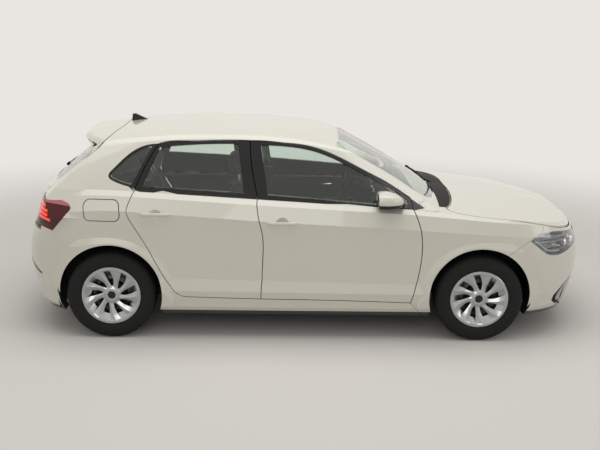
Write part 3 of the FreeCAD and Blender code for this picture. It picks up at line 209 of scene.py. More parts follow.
def tyre_rubber():
    """Carbon-black rubber, moulded: dark, dull, with random patches slightly browner and dusty."""
    material, tree = blank("carbon_black_tyre_rubber")
    place = node(tree, "ShaderNodeTexCoord")
    _, bump = grain(tree, 3, 0.10, place, 4.0)
    cloud, _ = grain(tree, 45, 0, place, 3.0)
    colour = two_tone(tree, "#0f0f0f", "#181817", (cloud, "Fac"))
    shade(tree, {"Base Color": (colour, "Color"), "Roughness": 0.78, "IOR": 1.52,
                 "Specular IOR Level": 0.3, "Normal": (bump, "Normal")})
    return material


def woven(name, dark, pale, thread_mm, depth_mm):
    """Flat-woven polyester: threads over and under, matt, with a soft sheen at grazing angles."""
    material, tree = blank(name)
    place = node(tree, "ShaderNodeTexCoord")
    # Real threads are too fine to show in the render, so each wave is drawn 2 pi threads wide
    bands = [node(tree, "ShaderNodeTexWave", {"Vector": (place, "Object"), "Scale": 1000 / thread_mm / 20,
                                              "Distortion": 0.4}, bands_direction=direction)
             for direction in "XYZ"]
    first = node(tree, "ShaderNodeMath", {0: (bands[0], "Fac"), 1: (bands[1], "Fac")}, operation="MULTIPLY")
    both = node(tree, "ShaderNodeMath", {0: (first, "Value"), 1: (bands[2], "Fac")}, operation="ADD")
    cloud, _ = grain(tree, 8, 0, place)
    mixed = node(tree, "ShaderNodeMath", {0: (both, "Value"), 1: (cloud, "Fac")}, operation="MULTIPLY")
    colour = two_tone(tree, dark, pale, (mixed, "Value"))
    bump = node(tree, "ShaderNodeBump", {"Height": (both, "Value"), "Distance": depth_mm * MM})
    shade(tree, {"Base Color": (colour, "Color"), "Roughness": 0.9, "Sheen Weight": 0.3,
                 "Sheen Roughness": 0.4, "Normal": (bump, "Normal")})
    return material


def cabin_lining():
    """Dark grained trim below the windows, pale pressed felt on pillars and roof."""
    material, tree = blank("trim_below_and_felt_above_the_windows")
    place = node(tree, "ShaderNodeTexCoord")
    cells, bump = grain(tree, 1.4, 0.10, place, kind="ShaderNodeTexVoronoi")
    trim = two_tone(tree, "#1b1b1d", "#232326", (cells, "Distance"))
    felt = two_tone(tree, "#9c9a93", "#aeaca5", (cells, "Distance"))
    lining = node(tree, "ShaderNodeMix", {0: (above(tree, place, LINING_FOOT), "Value"), 6: (trim, "Color"),
                                          7: (felt, "Color")}, data_type="RGBA")
    shade(tree, {"Base Color": (lining, 2), "Roughness": 0.75, "Normal": (bump, "Normal")})
    return material


def cast_metal(name, dark, pale, roughness, metallic, grain_mm=2.5):
    """Cast or pressed metal: rough skin with darker pores."""
    material, tree = blank(name)
    place = node(tree, "ShaderNodeTexCoord")
    _, bump = grain(tree, grain_mm, 0.25, place, 4.0)
    stain, _ = grain(tree, 70, 0, place, 4.0)
    colour = two_tone(tree, dark, pale, (stain, "Fac"))
    shade(tree, {"Base Color": (colour, "Color"), "Roughness": roughness, "Metallic": metallic,
                 "Normal": (bump, "Normal")})
    return material


# Side view of the tail lamp in metres: a pale band along its top, glowing bars, a smoked window
BAND_X, BAND_Z, BAND_SLOPE = -1.806, 0.962, -0.155
BAR_X, BAR_Z, BAR_PITCH, BAR_SHARE, BAR_SLOPE = (-1.866, -1.768), (0.832, 0.936), 0.026, 0.70, -0.16
WINDOW_X, WINDOW_Z = (-1.853, -1.795), (0.797, 0.822)
BAR_GLOW = 0.55

# Where each of them is, step by step: a result, an operation, and its numbers or earlier results
LAMP_STEPS = [
    ("past_band", "SUBTRACT", "x", BAND_X), ("band_height", "MULTIPLY_ADD", "past_band", BAND_SLOPE, BAND_Z),
    ("band", "GREATER_THAN", "z", "band_height"),
    ("past_bars", "SUBTRACT", "x", BAR_X[0]), ("slanted", "MULTIPLY_ADD", "past_bars", -BAR_SLOPE, "z"),
    ("climb", "SUBTRACT", "slanted", BAR_Z[0]), ("pitches", "DIVIDE", "climb", BAR_PITCH),
    ("share", "FRACT", "pitches"), ("bars", "LESS_THAN", "share", BAR_SHARE)]
for mask, value, (low, high) in (("bars", "slanted", BAR_Z), ("bars", "x", BAR_X),
                                 ("window", "x", WINDOW_X), ("window", "z", WINDOW_Z)):
    LAMP_STEPS += [("beyond", "GREATER_THAN", value, low), (mask, "MULTIPLY", mask, "beyond"),
                   ("before", "LESS_THAN", value, high), (mask, "MULTIPLY", mask, "before")]
LAMP_STEPS.append(("glow", "MULTIPLY", "bars", BAR_GLOW))


def tail_lamp_acrylic():
    """Acrylic moulded in several reds: dark body, paler top, light guides that glow, a smoked window."""
    material, tree = blank("red_moulded_tail_lamp_acrylic")
    place = node(tree, "ShaderNodeTexCoord")
    parts = node(tree, "ShaderNodeSeparateXYZ", {0: (place, "Object")})
    found = {"x": (parts, "X"), "z": (parts, "Z"), "window": 1.0}
    for result, operation, *values in LAMP_STEPS:
        inputs = {i: found.get(value, value) for i, value in enumerate(values)}
        found[result] = (node(tree, "ShaderNodeMath", inputs, operation=operation), "Value")
    prisms, bump = grain(tree, 5, 0.05, place, 0.0)
    colour = (two_tone(tree, "#3f0f14", "#561a20", (prisms, "Fac")), "Color")
    for mask, tone in (("band", "#b4666d"), ("bars", "#e8402c"), ("window", "#120808")):
        mixed = node(tree, "ShaderNodeMix", {0: found[mask], 6: colour, 7: linear(tone)}, data_type="RGBA")
        colour = (mixed, 2)
    shade(tree, {"Base Color": colour, "Roughness": 0.14, "Specular IOR Level": 0.25, "Coat Weight": 0.2,
                 "Coat Roughness": 0.02, "Emission Color": linear("#ff4a30"),
                 "Emission Strength": found["glow"], "Normal": (bump, "Normal")})
    return material


PAINT = clearcoat_paint()
# Float glass 4 mm thick with a green tint, and polycarbonate under a hard coat
GLASS = clear_sheet("green_tinted_tempered_glass", "#e6f0ea", "#ebf4ee", 300, 0.02, 1.52)
CLEAR = clear_sheet("hard_coated_polycarbonate_cover", "#f2f4f4", "#fbfcfc", 80, 0.01, 1.5)
RUBBER = tyre_rubber()
GLOSS_BLACK = gloss("gloss_black_pillar_panel", "#0b0b0c", "#111112", 0.16, coat=0.15, specular=0.35)
BLACK_GRAIN = plastic("grained_black_polypropylene", "#131314", "#1b1b1c", 0.55, 1.6, 0.10)
COVER_SILVER = gloss("silver_lacquered_wheel_cover", "#a9abad", "#b6b8ba", 0.20, coat=0.5, metallic=0.95,
                     wave_mm=4)
WHEEL_BLACK = gloss("black_enamelled_steel_wheel", "#0d0d0e", "#151516", 0.38, coat=0.2)
TAIL_LAMP = tail_lamp_acrylic()
BRIGHT = gloss("metallised_lamp_reflector", "#d9dbdd", "#eceeef", 0.12, metallic=1.0)
LAMP_BEZEL = gloss("smoked_metallised_lamp_bezel", "#77787b", "#88898c", 0.20, metallic=0.9)
MIRROR_GLASS = gloss("silvered_mirror_glass", "#e2e6e8", "#eaedee", 0.02, metallic=1.0, wave_mm=400)
LIGHT_GUIDE = gloss("frosted_acrylic_light_guide", "#dfe3e6", "#eef1f3", 0.30, coat=1.0)
SATIN_SILVER = gloss("satin_silver_lacquered_blade", "#9d9c99", "#aaa9a6", 0.34, coat=0.3, metallic=0.5)
REFLECTOR_RED = gloss("red_prismatic_reflector", "#4a0d12", "#5c1016", 0.14, coat=0.3, wave_mm=3,
                      depth_mm=0.05)
PLATE_WHITE = gloss("white_reflective_sheet", "#e4e4e0", "#ecece8", 0.35, coat=0.3, wave_mm=2)
SCREEN = gloss("black_display_glass", "#08090a", "#0e1012", 0.05, coat=1.0)
UNDERCOAT = plastic("sprayed_underbody_coat", "#0f0f10", "#1a1a1b", 0.8, 4, 0.3)
TRIM = plastic("grained_door_and_dash_skin", "#1b1b1d", "#232326", 0.62, 1.4, 0.10)
LINING = cabin_lining()
CARPET = woven("needled_carpet", "#151516", "#222224", 2.0, 0.6)
CLOTH = woven("woven_seat_cloth", "#2a2b2d", "#4a4b4d", 1.6, 0.3)
SIDE_CLOTH = woven("knitted_seat_side_cloth", "#141516", "#232426", 1.2, 0.2)
IRON = cast_metal("black_dipped_chassis_iron", "#141415", "#222224", 0.55, 0.3)
# Turned disc iron drawn darker than the metal is: painted shade for the disc in the wheel's shadow
DISC_IRON_WITH_PAINTED_SHADE = cast_metal("turned_brake_disc_iron", "#3b3a38", "#4a4946", 0.35, 0.9, 1.5)
ALUMINIUM = cast_metal("die_cast_aluminium", "#8e9092", "#a9abad", 0.42, 0.9, 4)
EXHAUST = cast_metal("aluminised_exhaust_steel", "#6d6a66", "#8d8a86", 0.38, 0.9, 6)
TANK = plastic("blow_moulded_polyethylene", "#101011", "#18181a", 0.5, 6, 0.2)

NODE_FINISH = {
    PAINT: ["body_shell", "bonnet", "tailgate", "fuel_flap", "front_bumper", "rear_bumper", "front_wings",
            "front_door_", "rear_door_", "mirror_"],
    GLASS: ["front_door_glass_", "rear_door_glass_", "fixed_glass", "rear_window"],
    RUBBER: ["tyre_"],
    WHEEL_BLACK: ["wheel_front_", "wheel_rear_"],
    COVER_SILVER: ["wheel_cover_"],
    IRON: ["knuckle_", "front_suspension", "rear_axle"],
    ALUMINIUM: ["engine_block"],
    EXHAUST: ["exhaust"],
    TANK: ["fuel_tank"],
    CLEAR: ["headlamps"],
    LAMP_BEZEL: ["headlamp_housings"],
    TAIL_LAMP: ["tail_lamps", "tailgate_lamps"],
    BLACK_GRAIN: ["grilles_and_diffuser", "cowl", "wipers", "rear_wiper"],
    GLOSS_BLACK: ["antenna", "window_trims"],
    PLATE_WHITE: ["blank_plates"],
    TRIM: ["dashboard", "steering_wheel"],
    SIDE_CLOTH: ["front_seats", "rear_seat"],
}


def finish_of(name):
    """The material whose entry is the longest match of a node's name."""
    found = [(len(entry), material) for material, entries in NODE_FINISH.items()
             for entry in entries if name == entry or entry.endswith("_") and name.startswith(entry)]
    return max(found, key=lambda pair: pair[0])[1]


# Which faces of a painted shell carry another finish, by places in metres


def paint_faces(name, rules):
    """Gives the faces picked by each rule their own finish; a later rule wins."""
    obj = nodes[name]
    middle, normal = (vectors(obj.data.polygons, attribute) for attribute in ("center", "normal"))
    index = np.zeros(len(middle), np.int32)
    for material, rule in rules:
        picked = rule(middle, normal)
        if picked.any():
            obj.data.materials.append(material)
            index[picked] = len(obj.data.materials) - 1
    obj.data.polygons.foreach_set("material_index", index)


CABIN_MIDDLE, CABIN_X, CABIN_Z = (-0.35, 0, 0.85), (-1.95, 0.80), (0.32, 1.43)
FACING_IN = 0.25
CABIN_WALL, CABIN_UPPER_WALL, CABIN_LEAN, CABIN_BELT = 0.75, 0.74, 0.62, 0.95
CARPET_TOP, CARPET_FACING = 0.56, 0.3
UNDERSIDE_TOP, UNDERSIDE_FACING = 0.42, -0.8


def facing_in(middle, normal):
    """Looking towards the centre of the cabin."""
    to_centre = np.array(CABIN_MIDDLE) - middle
    reach = np.linalg.norm(to_centre, axis=1)
    return (to_centre * normal).sum(1) / reach > FACING_IN


def in_cabin(middle, normal):
    """Inside the side walls, which lean in above the belt."""
    x, y, z = middle.T
    wall = np.where(z > CABIN_BELT, CABIN_UPPER_WALL - (z - CABIN_BELT) * CABIN_LEAN, CABIN_WALL)
    return (np.abs(y) < wall) & within(z, CABIN_Z) & within(x, CABIN_X) & facing_in(middle, normal)


def cabin_floor(middle, normal):
    """What carries carpet."""
    return in_cabin(middle, normal) & (middle[:, 2] < CARPET_TOP) & (normal[:, 2] > CARPET_FACING)


def under_floor(middle, normal):
    """What the road's grit reaches."""
    return (normal[:, 2] < UNDERSIDE_FACING) & (middle[:, 2] < UNDERSIDE_TOP)


# An arch's centre over the hub, its foot, and where the skin outside it starts
ARCH_LIFT, ARCH_FOOT, SKIN_FACING, SKIN_FROM = 0.016, 0.15, 0.35, 0.68
# Wall, lip and rear part of a liner: reach from the centre, half width, how far it looks in, and its top
ARCH_PARTS = ((0.376, 0.80, -2, 2), (0.358, 0.868, 0.7, 2), (0.50, 0.83, 0.3, 0.50))


def in_arch(middle, normal):
    """The liners of the wheel arches, behind the painted edge."""
    x, y, z = middle.T
    skin = (normal[:, 1] * np.sign(y) > SKIN_FACING) & (np.abs(y) > SKIN_FROM)
    found = np.zeros(len(middle), bool)
    for end in ENDS:
        dx, dz = x - AXLE_X[end], z - HUB_Z - ARCH_LIFT
        across = np.hypot(dx, dz)
        inward = -(dx * normal[:, 0] + dz * normal[:, 2]) / np.maximum(across, 1e-6)
        for reach, half_width, facing, top in ARCH_PARTS:
            found |= (across < reach) & (np.abs(y) < half_width) & (inward > facing) & (z < top)
    return found & (z > ARCH_FOOT) & ~skin


# The step between the doors' sheet metal and the window frames, as (x, z)
BELT = ((-1.45, 1.05), (-0.36, 1.00), (0.71, 0.935))
DOOR_WALL, DOOR_UPPER_WALL, DOOR_LEAN, DOOR_BELT, DOOR_FACING = 0.82, 0.83, 0.34, 0.90, -0.2


def window_frame(middle, normal):
    """A door above the belt."""
    return middle[:, 2] > along(BELT, middle[:, 0])


def door_inside(middle, normal):
    """The lined inner side of a door."""
    _, y, z = middle.T
    wall = np.where(z > DOOR_BELT, DOOR_UPPER_WALL - (z - DOOR_BELT) * DOOR_LEAN, DOOR_WALL)
    return (np.abs(y) < wall) & (normal[:, 1] * np.sign(y) < DOOR_FACING)


# The tailgate's middle line as (z, x), and the enamelled step round its window
REAR_LINE = ((0.97, -1.902), (1.06, -1.830), (1.246, -1.625), (1.372, -1.476))
REBATE_HALF_WIDTH = ((1.04, 0.55), (1.09, 0.590), (1.30, 0.560))
REBATE_Z, REBATE_DEPTH, REBATE_BOW = (1.035, 1.35), (0.004, 0.09), 0.25
REBATE_CORNER_Y, REBATE_CORNER_Z = 0.50, 1.27


def glass_rebate(middle, normal):
    """The black enamelled step round the rear window."""
    x, y, z = middle.T
    skin = along(REAR_LINE, z) + REBATE_BOW * y ** 2
    inside = (np.abs(y) < along(REBATE_HALF_WIDTH, z)) & within(z, REBATE_Z)
    inside &= (np.abs(y) < REBATE_CORNER_Y) | (z < REBATE_CORNER_Z)
    return inside & (x > skin + REBATE_DEPTH[0]) & (x < skin + REBATE_DEPTH[1])


MIRROR_SPLIT = 0.996


def mirror_foot(middle, normal):
    """The lower part of a mirror's housing and its foot."""
    return middle[:, 2] < MIRROR_SPLIT


# The post's middle line as (z, x)
REAR_POST = ((1.06, -1.195), (1.10, -1.175), (1.16, -1.145), (1.20, -1.125), (1.26, -1.098), (1.30, -1.072),
             (1.325, -1.055))
POST_Z, POST_HALF_WIDTH, POST_FROM_Y = (1.05, 1.335), 0.022, 0.58


def rear_post(middle, normal):
    """The narrow post between rear door and quarter window."""
    x, y, z = middle.T
    return within(z, POST_Z) & (np.abs(x - along(REAR_POST, z)) < POST_HALF_WIDTH) & (np.abs(y) > POST_FROM_Y)


EDGE_FACING = 0.5


def glass_edge(middle, normal):
    """The cut edge of a pane, hidden by black seals."""
    return np.abs(normal[:, 1]) < EDGE_FACING


DISC_REACH, DISC_FACING = (0.070, 0.127), 0.9


def brake_disc(middle, normal):
    """Rubbed faces of the disc behind the wheel, given iron darkened with painted shade."""
    across = np.min([np.hypot(middle[:, 0] - x, middle[:, 2] - HUB_Z) for x in AXLE_X.values()], axis=0)
    return within(across, DISC_REACH) & (np.abs(normal[:, 1]) > DISC_FACING)


LAMP_SHELVES, SHELF_HALF, SHELF_FACING = (0.6445, 0.7045), 0.010, 0.4


def lamp_blades(middle, normal):
    """Bright shelves inside the headlamp."""
    levels = [np.abs(middle[:, 2] - z) < SHELF_HALF for z in LAMP_SHELVES]
    return (levels[0] | levels[1]) & (np.abs(normal[:, 2]) > SHELF_FACING)


for name, obj in nodes.items():
    obj.data.materials.clear()
    obj.data.materials.append(finish_of(name))

paint_faces("body_shell", [(LINING, in_cabin), (CARPET, cabin_floor), (UNDERCOAT, under_floor),
                           (BLACK_GRAIN, in_arch), (GLOSS_BLACK, rear_post)])
for name in ("front_wings", "front_bumper", "rear_bumper"):
    paint_faces(name, [(BLACK_GRAIN, in_arch), (UNDERCOAT, under_floor)])
paint_faces("tailgate", [(TRIM, facing_in), (GLOSS_BLACK, glass_rebate)])
paint_faces("headlamp_housings", [(BRIGHT, lamp_blades)])
for name in ("tail_lamps", "tailgate_lamps"):
    paint_faces(name, [(BLACK_GRAIN, facing_in)])
for side, _ in SIDES:
    paint_faces("mirror_" + side, [(GLOSS_BLACK, mirror_foot)])
    for end in ENDS:
        paint_faces(end + "_door_" + side, [(GLOSS_BLACK, window_frame), (TRIM, door_inside)])
        paint_faces(end + "_door_glass_" + side, [(GLOSS_BLACK, glass_edge)])
        # The disc's faces get the darkened iron, painted shade behind the wheel cover
        paint_faces("wheel_" + end + "_" + side, [(DISC_IRON_WITH_PAINTED_SHADE, brake_disc)])

# Smooth shading with crisp shut lines
SHUT_LINE_ANGLE = math.radians(28)
for obj in nodes.values():
    obj.data.polygons.foreach_set("use_smooth", [True] * len(obj.data.polygons))
    obj.data.set_sharp_from_angle(angle=SHUT_LINE_ANGLE)

# Shapes built from points


def lofted(sections, ring=False):
    """Points and faces of a skin through closed outlines of equal count, capped unless it is a ring."""
    count = len(sections[0])
    points = [tuple(p) for section in sections for p in section]
    quads = []
    for i in range(len(sections) if ring else len(sections) - 1):
        low, high = i * count, (i + 1) % len(sections) * count
        for j in range(count):
            after = (j + 1) % count
            quads.append((low + j, low + after, high + after, high + j))
    if not ring:
        quads.append(tuple(range(count))[::-1])
        quads.append(tuple(range(len(points) - count, len(points))))
    return points, quads


def joined(shapes):
    """Several shapes as one list of points and one of faces."""
    points, quads = [], []
    for some_points, some_quads in shapes:
        quads += [tuple(i + len(points) for i in quad) for quad in some_quads]
        points += list(some_points)
    return points, quads


def piece(name, shape, material, body=None, smooth=30):
    """A mesh object of the car, smooth except at its edges, riding on a body."""
    points, quads = shape
    mesh = bpy.data.meshes.new(name)
    mesh.from_pydata([tuple(p) for p in points], [], [tuple(q) for q in quads])
    outward = bmesh.new()
    outward.from_mesh(mesh)
    bmesh.ops.recalc_face_normals(outward, faces=outward.faces)
    outward.to_mesh(mesh)
    outward.free()
    mesh.polygons.foreach_set("use_smooth", [True] * len(mesh.polygons))
    mesh.set_sharp_from_angle(angle=math.radians(smooth))
    for finish in material if isinstance(material, (list, tuple)) else [material]:
        mesh.materials.append(finish)
    obj = linked(name, mesh)
    if body:
        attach(obj, body)
    return obj


def outline(half_u, half_v, fullness=2.6, count=28):
    """Points (u, v) round a rounded rectangle; a fullness of 2 is an ellipse."""
    found = []
    for i in range(count):
        turn = 2 * math.pi * i / count
        c, s = math.cos(turn), math.sin(turn)
        found.append((math.copysign(abs(c) ** (2 / fullness), c) * half_u,
                      math.copysign(abs(s) ** (2 / fullness), s) * half_v))
    return found


def tube(path, radius, sides=10):
    """A round bar along a path of points."""
    path = [Vector(p) for p in path]
    sections = []
    for i, p in enumerate(path):
        ahead = (path[min(i + 1, len(path) - 1)] - path[max(i - 1, 0)]).normalized()
        first = ahead.cross(Vector((0, 0, 1)) if abs(ahead.z) < 0.9 else Vector((1, 0, 0))).normalized()
        second = ahead.cross(first)
        sections.append([p + first * (u * radius) + second * (v * radius)
                         for u, v in outline(1, 1, 2, sides)])
    return lofted(sections)


def swept(path, count):
    """Points spread evenly on a smooth curve through a path."""
    ends = [2 * Vector(path[0]) - Vector(path[1])] + [Vector(p) for p in path]
    ends.append(2 * ends[-1] - ends[-2])
    found = []
    for i in range(count + 1):
        place = min(i / count * (len(path) - 1), len(path) - 1.000001)
        k = int(place)
        t = place - k
        a, b, c, d = ends[k:k + 4]
        found.append(0.5 * (2 * b + (c - a) * t + (2 * a - 5 * b + 4 * c - d) * t ** 2
                            + (3 * b - a - 3 * c + d) * t ** 3))
    return found


SURFACES = {}


def hit(name, start, direction):
    """Where a ray meets a CAD node: the point and its outward normal."""
    if name not in SURFACES:
        mesh = nodes[name].data
        SURFACES[name] = BVHTree.FromPolygons([v.co[:] for v in mesh.vertices],
                                              [p.vertices[:] for p in mesh.polygons])
    point, normal, _, _ = SURFACES[name].ray_cast(Vector(start), Vector(direction))
    if point is None:
        return None, None
    return point, normal if normal.dot(Vector(direction)) < 0 else -normal


# Tyres: the CAD outline with grooves, sipes and sidewall rings cut in

# Half of the section as radius and distance from the tyre's middle, in mm, from bead to tread
TYRE_HALF = (
    (191.0, 75.6), (204.0, 77.6), (204.0, 85.0), (208.0, 87.4), (209.6, 86.4), (211.4, 88.0), (230.5, 91.0),
    (243.0, 92.0), (252.5, 92.5), (254.5, 91.5), (256.5, 92.1), (263.0, 90.9), (265.0, 89.9), (267.0, 90.2),
    (274.0, 88.3), (284.0, 84.6), (291.5, 80.5), (297.5, 75.8), (302.0, 70.5), (304.2, 65.0), (306.0, 58.5),
    (306.6, 54.2), (299.6, 53.2), (299.6, 46.8), (307.4, 45.8), (308.0, 30.0), (308.0, 22.2), (300.4, 21.2),
    (300.4, 14.8), (308.0, 13.8), (308.0, 0.0))
PITCHES, SIPE_DEPTH, SIPE_SKEW = 66, 3.5, 0.035
# Share of a pitch and depth, for each section of a tread block and the sipe after it
PITCH_STEPS = ((0.0, 0), (0.90, 0), (0.915, SIPE_DEPTH), (0.985, SIPE_DEPTH))
# The tread blocks lie outside this radius
LAND = 303.0


def tyre_shape(x, y):
    """One tyre about its wheel's centre."""
    profile = list(TYRE_HALF) + [(r, -d) for r, d in TYRE_HALF[-2::-1]]
    pitch = 360 / PITCHES
    sections = []
    for i in range(PITCHES):
        for share, depth in PITCH_STEPS:
            section = []
            for r, d in profile:
                on_land = r > LAND
                turn = math.radians((i + share) * pitch + (SIPE_SKEW * abs(d) if on_land else 0))
                reach = (r - depth if on_land else r) * MM
                section.append((x + reach * math.cos(turn), y + d * MM, HUB_Z + reach * math.sin(turn)))
            sections.append(section)
    return lofted(sections, ring=True)


# Wheel covers: a swept, ridged facet over each blade, and a plain cap at the centre

COVER_BLADES, COVER_TURN = 9, 93.0
# The cover's front as radius and depth, and its windows as radius in mm, half width and sweep in degrees
COVER_FRONT = ((26, 67), (28, 69), (44, 68), (62, 60), (100, 64), (150, 74), (176, 82), (186, 88),
               (200, 88.5))
COVER_WINDOW = ((62, 3.5, -8), (80, 8.5, -5), (110, 10, -1), (148, 8.5, 3), (186, 7, 7))
FACET_RADII = (50, 58, 66, 76, 90, 105, 120, 135, 150, 165, 176, 184, 192, 198)
FACET_MARGIN, FACET_LIFT, FACET_SEAT, FACET_FOOT = 0.8, 10.0, 0.35, 0.6
# A facet's height at five points from edge to edge, as a share of its rise; the third is the ridge
FACET_PROFILE = (0, 0.42, 1, 0.55, 0)
# Nearer the axle than the windows the blades sweep on, by degrees for each mm
HUB_SWEEP_RADIUS, HUB_SWEEP = 62, 0.45
RISE_FROM, RISE_OVER, RISE_POWER = 46, 160, 0.7
RIDGE_FROM, RIDGE_DRIFT, RIDGE_OVER = 0.30, 0.25, 150
HUB_CAP = ((0, 66), (26.5, 66), (26.5, 68.0), (24.5, 69.6), (12, 70.6), (0, 70.9))


def cover_facets(x, y, out):
    """Each blade rises from both windows to an off-centre ridge, and lies flat at the rim."""
    shapes = []
    for blade in range(COVER_BLADES):
        sections = []
        for r in FACET_RADII:
            half, sweep = along(COVER_WINDOW, r), along(COVER_WINDOW, r, 2)
            if r < HUB_SWEEP_RADIUS:
                sweep -= (HUB_SWEEP_RADIUS - r) * HUB_SWEEP
            margin = math.degrees(FACET_MARGIN / r)
            first = COVER_TURN + half + sweep + margin + 360 * blade / COVER_BLADES
            last = COVER_TURN + 360 / COVER_BLADES - half + sweep - margin + 360 * blade / COVER_BLADES
            rise = FACET_LIFT * math.sin(math.pi * min(1, max(0, (r - RISE_FROM) / RISE_OVER))) ** RISE_POWER
            height = along(COVER_FRONT, r)
            ridge = RIDGE_FROM + RIDGE_DRIFT * (r - FACET_RADII[0]) / RIDGE_OVER
            shares = (0, ridge * 0.5, ridge, ridge + (1 - ridge) * 0.5, 1)
            section = [(share, height + FACET_SEAT + rise * lift)
                       for share, lift in zip(shares, FACET_PROFILE)]
            section += [(1, height - FACET_FOOT), (0, height - FACET_FOOT)]
            placed = []
            for share, d in section:
                turn = math.radians(first + (last - first) * share)
                placed.append((x + r * MM * math.cos(turn), y + out * d * MM,
                               HUB_Z + r * MM * math.sin(turn)))
            sections.append(placed)
        shapes.append(lofted(sections))
    return joined(shapes)


# Radius of the smallest ring on the axle, in mm, where a turned solid closes
TIP_RADIUS = 0.01


def turned(profile, x, y, out, count=48):
    """A solid turned about a wheel's axle from (radius, depth) points in mm, its ends on the axle."""
    sections = []
    for r, d in profile:
        r = max(r, TIP_RADIUS)
        sections.append([(x + r * MM * math.cos(t), y + out * d * MM, HUB_Z + r * MM * math.sin(t))
                         for t in (2 * math.pi * i / count for i in range(count))])
    return lofted(sections)


for side, out in SIDES:
    for end in ENDS:
        place = "_" + end + "_" + side
        x, y = AXLE_X[end], centre("tyre" + place).y
        tread = piece("grooved_tyre" + place, tyre_shape(x, y), RUBBER, "wheel" + place, 40)
        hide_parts("tyre" + place)
        facets = piece("cover_facets" + place, cover_facets(x, y, out), COVER_SILVER, "wheel" + place, 12)
        cap = turned(HUB_CAP, x, y, out)
        piece("plain_hub_cap" + place, cap, GLOSS_BLACK, "wheel" + place)

# Mirrors: silvered glass in each housing's pocket

MIRROR_X, MIRROR_Z, MIRROR_HALF_Y, MIRROR_HALF_Z, MIRROR_OUT = 0.4615, 1.012, 0.080, 0.042, 0.008
# Depth and share of the full outline, from the front of the pane to the back of its pocket
MIRROR_STEPS = ((0.002, 0.96), (0, 1.0), (-0.002, 1.0), (-0.004, 0.97), (-0.0055, 0.6), (-0.006, 0.15))
for side, out in SIDES:
    y = out * (HALF_WIDTH + MIRROR_OUT)
    sections = [[(MIRROR_X + depth, y + u * share, MIRROR_Z + v * share)
                 for u, v in outline(MIRROR_HALF_Y, MIRROR_HALF_Z, 2.8)] for depth, share in MIRROR_STEPS]
    piece("mirror_glass_" + side, lofted(sections), MIRROR_GLASS, "front_door_" + side)

# Headlamps: a light guide round the lower edge, and two bowls with their domes

# Each light guide's line as (x, z), with its radius
LIGHT_GUIDES = (
    ("light_guide_", 0.0045,
     ((1.560, 0.7285), (1.600, 0.698), (1.645, 0.664), (1.700, 0.640), (1.770, 0.634))),
    ("inner_light_guide_", 0.0035, ((1.700, 0.690), (1.735, 0.676), (1.775, 0.668))))
GUIDE_DEPTH = 0.014
# Each bowl's place and radius, then share of the radius and depth for each ring of its wall
BOWL_PLACES = ((0.650, 0.676, 0.024), (0.540, 0.678, 0.021))
BOWL_RINGS = ((1.0, 0.006), (1.06, 0.006), (1.06, -0.010), (0.7, -0.012), (0.72, -0.006))
BOWL_BEHIND_LENS, BOWL_BACK = 0.006, 0.016
DOME_STEPS, DOME_FOOT, DOME_HEIGHT, DOME_SHARE, DOME_TIP = 6, -0.007, 0.011, 0.68, 0.02
# Where rays that look for the skin start, clear of the car
BESIDE_CAR, BEFORE_CAR = 1.2, 2.4
FORWARD = Vector((1, 0, 0))


def ring_ahead(base, depth, radius, share):
    """A ring of points that faces forward, a little before its base."""
    return [base + FORWARD * depth + Vector((0, u, v)) * radius * share for u, v in outline(1, 1, 2.0)]


for side, out in SIDES:
    for name, radius, path in LIGHT_GUIDES:
        inside = []
        for x, z in path:
            point, normal = hit("headlamps", (x, out * BESIDE_CAR, z), (0, -out, 0))
            inside.append(point - normal * GUIDE_DEPTH)
        guide = piece(name + side, tube(swept(inside, 24), radius), LIGHT_GUIDE, "body")
    bowls, domes = [], []
    for y, z, radius in BOWL_PLACES:
        point, normal = hit("headlamps", (BEFORE_CAR, out * y, z), -FORWARD)
        base = point - normal * BOWL_BEHIND_LENS - FORWARD * BOWL_BACK
        bowls.append(lofted([ring_ahead(base, depth, radius, share) for share, depth in BOWL_RINGS],
                            ring=True))
        turns = [math.pi / 2 * step / DOME_STEPS for step in range(DOME_STEPS + 1)]
        domes.append(lofted([ring_ahead(base, DOME_FOOT + DOME_HEIGHT * math.sin(turn), radius,
                                        DOME_SHARE * max(math.cos(turn), DOME_TIP)) for turn in turns]))
    piece("reflector_bowls_" + side, joined(bowls), BRIGHT, "body")
    piece("projector_domes_" + side, joined(domes), SCREEN, "body")

# Front bumper: a satin blade in each side intake, 9 mm proud of the recessed insert

BLADE_OUTER = ((0.585, 0.382), (0.610, 0.362), (0.634, 0.333), (0.652, 0.303), (0.658, 0.273), (0.648, 0.250))
BLADE_INNER = ((0.572, 0.376), (0.590, 0.348), (0.604, 0.316), (0.612, 0.286), (0.610, 0.262), (0.600, 0.244))
BLADE_PROUD, BLADE_THICKNESS, BLADE_CROWN = 0.009, 0.006, 0.003
for side, out in SIDES:
    sections = []
    for (y0, z0), (y1, z1) in zip(BLADE_OUTER, BLADE_INNER):
        front, back = [], []
        for share in (0, 0.3, 0.65, 1):
            start = (BEFORE_CAR, out * (y0 + (y1 - y0) * share), z0 + (z1 - z0) * share)
            point, normal = hit("grilles_and_diffuser", start, -FORWARD)
            crown = BLADE_CROWN * math.sin(math.pi * share)
            front.append(point + normal * (BLADE_PROUD + crown))
            back.append(point + normal * (BLADE_PROUD - BLADE_THICKNESS))
        sections.append(front + back[::-1])
    piece("intake_blade_" + side, lofted(sections), SATIN_SILVER, "body")

# Tailgate: the CAD panel with its lip drawn in towards the sides, as on the real car

# How far behind the middle line the lip may reach, by distance from the middle and by height
REAR_BOW = 0.29
LIP_REACH = ((0.0, 0.135), (0.30, 0.122), (0.40, 0.102), (0.47, 0.070), (0.52, 0.034), (0.56, 0.003))
LIP_FOOT = ((1.25, 0.003), (1.28, 0.020), (1.32, 0.135))
LIP_Z = (1.215, 1.40)

